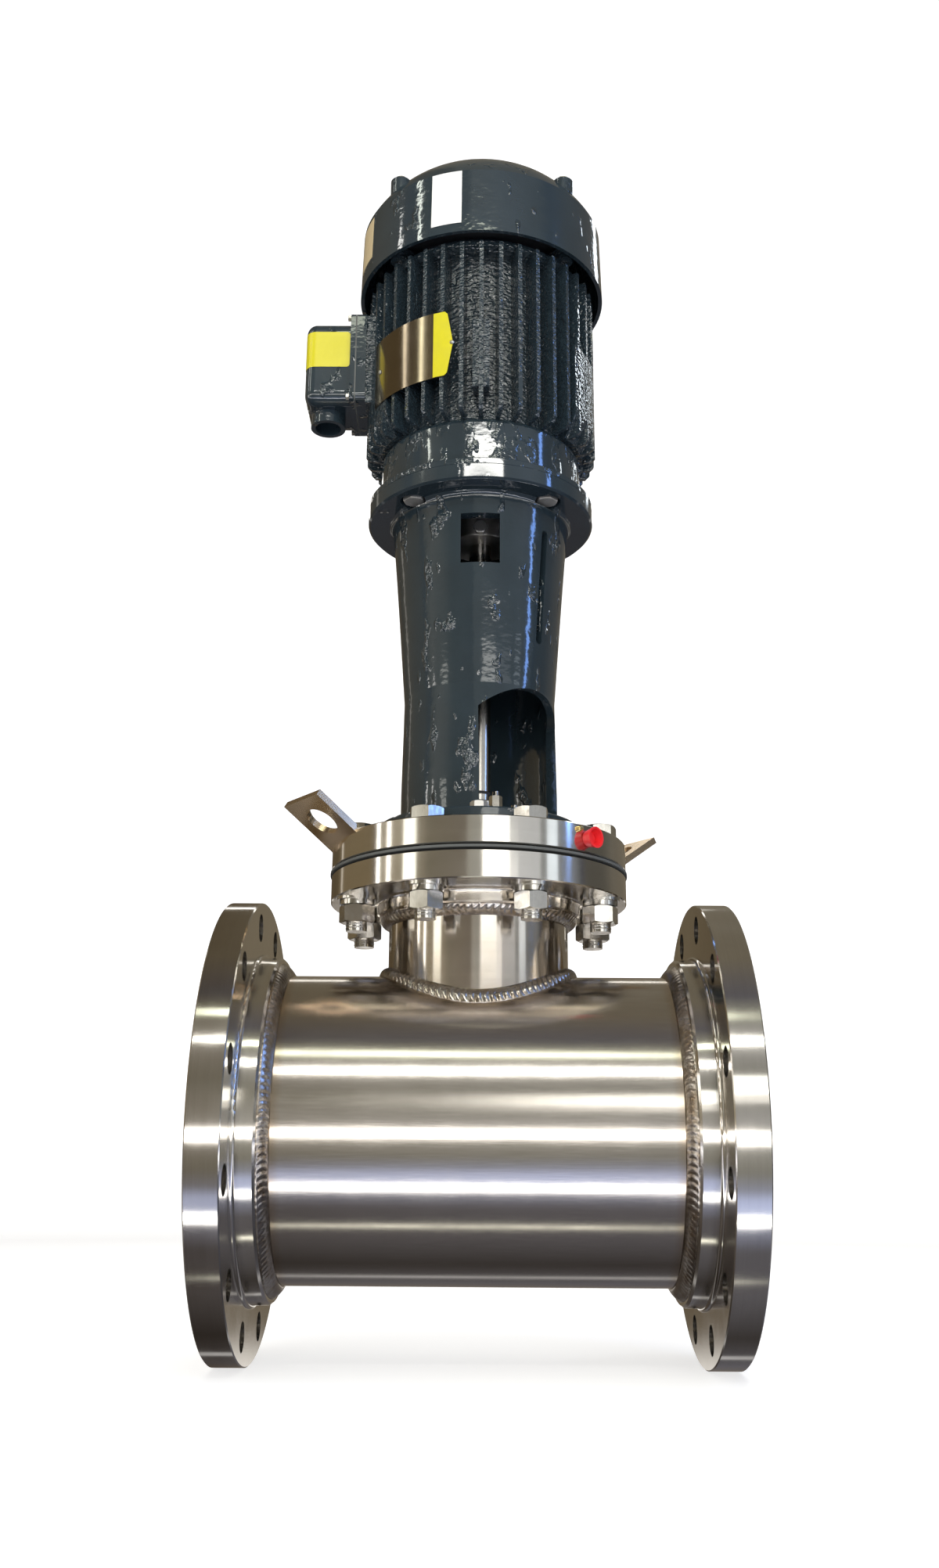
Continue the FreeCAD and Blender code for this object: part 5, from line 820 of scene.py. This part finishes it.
# Studio.
def room_world(care):
    """Studio walls seen by all but camera rays, from dark floor to brown ceiling, with bright bands."""
    world = bpy.data.worlds.new("Studio")
    world.use_nodes = True
    bpy.context.scene.world = world
    tree = world.node_tree
    tree.nodes.clear()
    way = split(tree, place(tree, "ShaderNodeTexCoord").outputs["Generated"])
    front = scaled(tree, way["Y"], -1.0)
    rise = scaled(tree, calc(tree, "ARCTAN2", way["Z"], front), 180.0 / math.pi)
    stops = [((degrees + 180.0) / 360.0, shade) for degrees, shade in WALLS]
    walls = ramp(tree, remap(tree, rise, -180.0, 180.0), stops)
    stops = [((side + 1.0) / 2.0, shade) for side, shade in SIDES]
    shades = ramp(tree, remap(tree, way["X"], -1.0, 1.0), stops)
    room = blend_colour(tree, 1.0, walls, shades, "MULTIPLY")
    aside = calc(tree, "ABSOLUTE", way["X"])
    for degrees, half, brightness, reach, rgb in BANDS:
        off = calc(tree, "ABSOLUTE", calc(tree, "SUBTRACT", rise, degrees))
        glow = remap(tree, off, half * BAND_CORE, half, start=1.0, end=0.0)
        within = remap(tree, aside, reach, reach + BAND_FADE, start=1.0, end=0.0)
        glow = calc(tree, "MULTIPLY", glow, within)
        room = blend_colour(tree, glow, room, toned(rgb, brightness), "ADD")
    seen = place(tree, "ShaderNodeBackground", {"Color": (*care.floor, 1.0), "Strength": 1.0}).outputs[0]
    lit = place(tree, "ShaderNodeBackground", {"Color": room, "Strength": care.sky}).outputs[0]
    camera_ray = place(tree, "ShaderNodeLightPath").outputs["Is Camera Ray"]
    mixed = place(tree, "ShaderNodeMixShader", {0: camera_ray, 1: lit, 2: seen}).outputs[0]
    out = place(tree, "ShaderNodeOutputWorld")
    tree.links.new(mixed, out.inputs["Surface"])


def hang_lamp(name, azimuth, distance, height, width, tall, glow, rgb=(1.0, 1.0, 1.0), mirrored=True):
    """A flat lamp that stands round the mixer and faces it. Glow is its brightness."""
    turn = math.radians(azimuth)
    data = bpy.data.lights.new(name, "AREA")
    data.shape = "RECTANGLE"
    data.size = width
    data.size_y = tall
    data.energy = glow * math.pi * width * tall
    data.color = rgb
    made = bpy.data.objects.new(name, data)
    made.location = (SHAFT_X + distance * math.sin(turn), -distance * math.cos(turn), height)
    aim = Vector((SHAFT_X, 0.0, LAMP_AIM_Z)) - made.location
    made.rotation_euler = aim.to_track_quat("-Z", "Y").to_euler()
    made.visible_camera = False
    made.visible_glossy = mirrored
    bpy.context.scene.collection.objects.link(made)


def pale_finish(name, rgb, glow):
    """Matt pale surface with the faintest mottling. It glows, so the lamps' pools on it stay faint."""
    made, tree, shader, spot = new_finish(name)
    broad = noise(tree, spot, 2.2, detail=3.0)
    base = mottle(tree, broad, rgb, dark=0.60, light=0.61)
    shade = mottle(tree, broad, rgb, dark=0.985, light=1.0)
    feed(tree, shader, Base_Color=base, Roughness=0.7, Specular_IOR_Level=0.1)
    feed(tree, shader, Emission_Color=shade, Emission_Strength=glow)
    return made


def pale_sweep(care):
    """Floor disc, lower bend, wall and dome that close the view behind the mixer from every side."""
    mesh = bmesh.new()
    profile = [(SWEEP_POLE, 0.0)]
    quarter = [math.radians(90.0 * i / SWEEP_STEPS) for i in range(SWEEP_STEPS + 1)]
    for turn in quarter:
        out = care.reach - SWEEP_BEND + SWEEP_BEND * math.sin(turn)
        profile.append((out, SWEEP_BEND - SWEEP_BEND * math.cos(turn)))
    profile.append((care.reach, SWEEP_WALL))
    for turn in quarter[1:]:
        out = care.reach * math.cos(turn) + SWEEP_POLE
        profile.append((out, SWEEP_WALL + care.reach * math.sin(turn)))
    rows = []
    for radius, rise in profile:
        ring = []
        for j in range(SWEEP_SIDES):
            turn = 2.0 * math.pi * j / SWEEP_SIDES
            spot = (SHAFT_X + radius * math.cos(turn), radius * math.sin(turn), FLOOR_Z + rise)
            ring.append(mesh.verts.new(spot))
        rows.append(ring)
    for near, far in zip(rows, rows[1:]):
        for j in range(SWEEP_SIDES):
            k = (j + 1) % SWEEP_SIDES
            mesh.faces.new((near[j], near[k], far[k], far[j]))
    data = bpy.data.meshes.new("pale_sweep")
    mesh.to_mesh(data)
    mesh.free()
    data.shade_smooth()
    data.materials.append(pale_finish("Pale sweep", care.floor, care.glow))
    made = bpy.data.objects.new("pale_sweep", data)
    bpy.context.scene.collection.objects.link(made)
    made.visible_shadow = False
    made.visible_glossy = False
    made.visible_diffuse = False
    made.visible_transmission = False


def place_camera():
    """Stand low in front of the run and tilt up at the motor."""
    pitch, yaw, roll = CAMERA_PITCH, CAMERA_YAW, CAMERA_ROLL
    ahead = Vector((math.sin(yaw) * math.cos(pitch), math.cos(yaw) * math.cos(pitch), math.sin(pitch)))
    level = Vector((math.cos(yaw), -math.sin(yaw), 0.0))
    above = level.cross(ahead)
    right = level * math.cos(roll) + above * math.sin(roll)
    top = above * math.cos(roll) - level * math.sin(roll)
    data = bpy.data.cameras.new("Camera")
    data.sensor_width = 36.0
    data.lens = CAMERA_FOCAL_PX / PHOTO_TALL_PX * data.sensor_width
    data.clip_start = 0.05
    data.clip_end = 50.0
    made = bpy.data.objects.new("Camera", data)
    spot = Vector((SHAFT_X + CAMERA_SIDE, -CAMERA_BACK, CAMERA_HEIGHT))
    made.matrix_world = Matrix.Translation(spot) @ Matrix((right, top, -ahead)).transposed().to_4x4()
    bpy.context.scene.collection.objects.link(made)
    bpy.context.scene.camera = made


# Operators: one for each piece or group of like pieces.
class MIXER_OT_effects(bpy.types.Operator):
    """Build the effects that several finishes share"""
    bl_idname = "mixer.effects"
    bl_label = "Shared effects"

    def execute(self, context):
        build_turned_marks()
        build_polished_grain()
        build_enamel_skin()
        build_handling_marks()
        build_weld_tint()
        return {"FINISHED"}


class MIXER_OT_steel(bpy.types.Operator):
    """Finish the run, the flanges, the mounting plate and its hardware"""
    bl_idname = "mixer.steel"
    bl_label = "Stainless steel"

    def execute(self, context):
        care = context.scene.mixer_steel
        smooth = care.flange_rough
        dress("run_pipe", finish_run_steel("Run tube", care, stretch_by=(40.0, 900.0, 900.0), axis="X"))
        dress("branch_nozzle",
              finish_turned_steel("Nozzle tube", care.run, smooth, pitch=0.6 * MM, tint=care.tint))
        dress("inlet_flange outlet_flange",
              finish_turned_steel("Run flange", care.flange, smooth, "run", 0.9 * MM, care.tint))
        dress("branch_flange",
              finish_turned_steel("Branch flange", care.flange, smooth, pitch=0.9 * MM, tint=care.tint))
        dress("mounting_flange", finish_turned_steel("Mounting plate", care.flange, smooth, pitch=0.7 * MM))
        dress("seal_gland", finish_turned_steel("Seal gland", care.flange, rough=0.16, pitch=0.4 * MM))
        # The lug colour holds a painted warm reflection of the floor as well as the lugs' own browning.
        dress("lifting_lugs", finish_turned_steel("Lug plate", care.lug_tint_and_reflection, rough=0.15, pitch=1.2 * MM))
        dress("flange_bolts flat_washers lock_washers flange_nuts gland_studs gland_nuts cover_screws",
              finish_fastener("Bright hardware", care.bolt, care.bolt_rough))
        dress("base_screws motor_bolts coupling_screws",
              finish_fastener("Pale hardware", care.pale, rough=0.45, grime=0.1))
        dress("nameplate", finish_turned_steel("Bare plate", care.plate, rough=0.14, pitch=0.5 * MM))
        dress("nameplate_rivets conduit_screws impeller_screws",
              finish_fastener("Small hardware", care.bolt, rough=0.3))
        dress("run_flange_welds saddle_weld nozzle_flange_welds", finish_weld("Weld metal", care))
        return {"FINISHED"}


class MIXER_OT_enamel(bpy.types.Operator):
    """Enamel the pedestal, the motor, its cover and its terminal box"""
    bl_idname = "mixer.enamel"
    bl_label = "Enamel"

    def execute(self, context):
        care = context.scene.mixer_paint
        dress("pedestal",
              finish_enamel("Pedestal enamel", care, patches=0.33, dust=0.25, cast=1.0, calm=CALM_Z))
        dress("motor_frame fan_end_bracket",
              finish_enamel("Motor enamel", care, patches=0.95, dust=0.20, cast=0.85, fine=0.75))
        dress("drive_end_bracket", finish_enamel("Bracket enamel", care, patches=0.55, dust=0.20, cast=0.5))
        dress("fan_cover", finish_enamel("Cover enamel", care, patches=0.30, dust=0.20, cast=1.2))
        dress("conduit_base conduit_box",
              finish_enamel("Box enamel", care, patches=0.4, dust=0.20, cast=0.8))
        return {"FINISHED"}


class MIXER_OT_inside(bpy.types.Operator):
    """Finish the shaft, the impellers, the seal, the bearings and the motor's inner pieces"""
    bl_idname = "mixer.inside"
    bl_label = "Inner pieces"

    def execute(self, context):
        steel = context.scene.mixer_steel
        care = context.scene.mixer_inside
        dress("mixer_shaft motor_shaft drive_collar",
              finish_turned_steel("Ground shaft", steel.flange, rough=0.15, pitch=0.3 * MM))
        dress("coupling_sleeve coupling_key", finish_turned_steel("Sleeve steel", steel.flange, rough=0.42))
        dress("lower_impeller upper_impeller",
              finish_run_steel("Blade steel", steel, stretch_by=(500.0, 500.0, 60.0), axis="Z"))
        dress("drive_bearing_inner drive_bearing_outer fan_bearing_inner fan_bearing_outer",
              finish_turned_steel("Bearing steel", steel.bolt, rough=0.12, pitch=0.3 * MM))
        dress("seal_seat seal_face",
              finish_moulded("Lapped carbon", care.carbon, rough=0.30, size=0.7 * MM))
        dress("seal_bellows wiper_ring", finish_moulded("Seal rubber", care.rubber, rough=0.62))
        dress("stator_core rotor_core", finish_laminations("Laminated core", care.core))
        dress("stator_windings", finish_windings("Varnished wire", care.wire))
        dress("cooling_fan", finish_moulded("Fan plastic", care.fan, rough=0.45))
        return {"FINISHED"}


class MIXER_OT_trim(bpy.types.Operator):
    """Finish the labels, the plug, the vent screw and the gaskets"""
    bl_idname = "mixer.trim"
    bl_label = "Labels and trim"

    def execute(self, context):
        care = context.scene.mixer_trim
        dress("nameplate_label box_label", finish_film("Yellow film", care.yellow))
        dress("cover_label", finish_film("White film", care.white))
        dress("side_sticker", finish_film("Beige film", care.beige))
        dress("flush_plug", finish_moulded("Moulded red", care.red, rough=0.30, size=0.9 * MM))
        dress("vent_screw", finish_turned_steel("Turned brass", care.brass, 0.2, "run", 0.4 * MM))
        dress("flange_gasket conduit_gasket",
              finish_moulded("Pressed fibre", care.fibre, rough=0.8, size=0.8 * MM))
        return {"FINISHED"}


class MIXER_OT_run_beads(bpy.types.Operator):
    """Lay the ripple beads that join the run's tube to its flanges"""
    bl_idname = "mixer.run_beads"
    bl_label = "Run beads"

    def execute(self, context):
        weld_piece("run_beads", lay_run_beads(context.scene.mixer_welds), "run_flange_welds")
        return {"FINISHED"}


class MIXER_OT_nozzle_beads(bpy.types.Operator):
    """Lay the ripple beads that join the nozzle to the branch flange"""
    bl_idname = "mixer.nozzle_beads"
    bl_label = "Nozzle beads"

    def execute(self, context):
        weld_piece("nozzle_beads", lay_nozzle_beads(context.scene.mixer_welds), "nozzle_flange_welds")
        return {"FINISHED"}


class MIXER_OT_seam_bead(bpy.types.Operator):
    """Lay the ripple bead along the seam of nozzle and run"""
    bl_idname = "mixer.seam_bead"
    bl_label = "Seam bead"

    def execute(self, context):
        weld_piece("seam_bead", lay_seam_bead(context.scene.mixer_welds), "saddle_weld")
        return {"FINISHED"}


class MIXER_OT_threads(bpy.types.Operator):
    """Cut the threads that show on the ends of the flange bolts and the gland studs"""
    bl_idname = "mixer.threads"
    bl_label = "Stud threads"

    def execute(self, context):
        hardware = bpy.data.materials["Bright hardware"]
        piece_from("stud_threads", cut_threads(**BOLT_THREADS), hardware)
        piece_from("gland_threads", cut_threads(**GLAND_THREADS), hardware)
        return {"FINISHED"}


class MIXER_OT_stage(bpy.types.Operator):
    """Set the pale sweep, the studio light and the camera"""
    bl_idname = "mixer.stage"
    bl_label = "Studio"

    def execute(self, context):
        care = context.scene.mixer_stage
        room_world(care)
        pale_sweep(care)
        for name, azimuth, distance, height, width, tall, glow, rgb in LAMPS:
            hang_lamp(name, azimuth, distance, height, width, tall, glow * care.lamps, rgb)
        for name, azimuth, distance, height, size, glow in SOFT_BOXES:
            hang_lamp(name, azimuth, distance, height, size, size, glow * care.boxes, mirrored=False)
        place_camera()
        context.scene.view_settings.view_transform = "Standard"
        return {"FINISHED"}


class MIXER_PT_panel(bpy.types.Panel):
    """Lists the steps that dress the mixer"""
    bl_idname = "MIXER_PT_panel"
    bl_label = "Inline mixer"
    bl_space_type = "VIEW_3D"
    bl_region_type = "UI"
    bl_category = "Mixer"

    def draw(self, context):
        for step in STEPS:
            self.layout.operator(step.bl_idname)


SETTINGS = {
    "mixer_steel": MixerSteel,
    "mixer_paint": MixerPaint,
    "mixer_trim": MixerTrim,
    "mixer_inside": MixerInside,
    "mixer_welds": MixerWelds,
    "mixer_stage": MixerStage,
}
STEPS = [
    MIXER_OT_effects, MIXER_OT_steel, MIXER_OT_enamel, MIXER_OT_inside, MIXER_OT_trim,
    MIXER_OT_run_beads, MIXER_OT_nozzle_beads, MIXER_OT_seam_bead, MIXER_OT_threads, MIXER_OT_stage,
]


def register():
    for made in (*SETTINGS.values(), *STEPS, MIXER_PT_panel):
        bpy.utils.register_class(made)
    for name, group in SETTINGS.items():
        setattr(bpy.types.Scene, name, bpy.props.PointerProperty(type=group))


def unregister():
    for name in SETTINGS:
        delattr(bpy.types.Scene, name)
    for made in reversed((*SETTINGS.values(), *STEPS, MIXER_PT_panel)):
        bpy.utils.unregister_class(made)


def main():
    register()
    for step in STEPS:
        group, action = step.bl_idname.split(".")
        getattr(getattr(bpy.ops, group), action)()


if __name__ == "__main__":
    main()
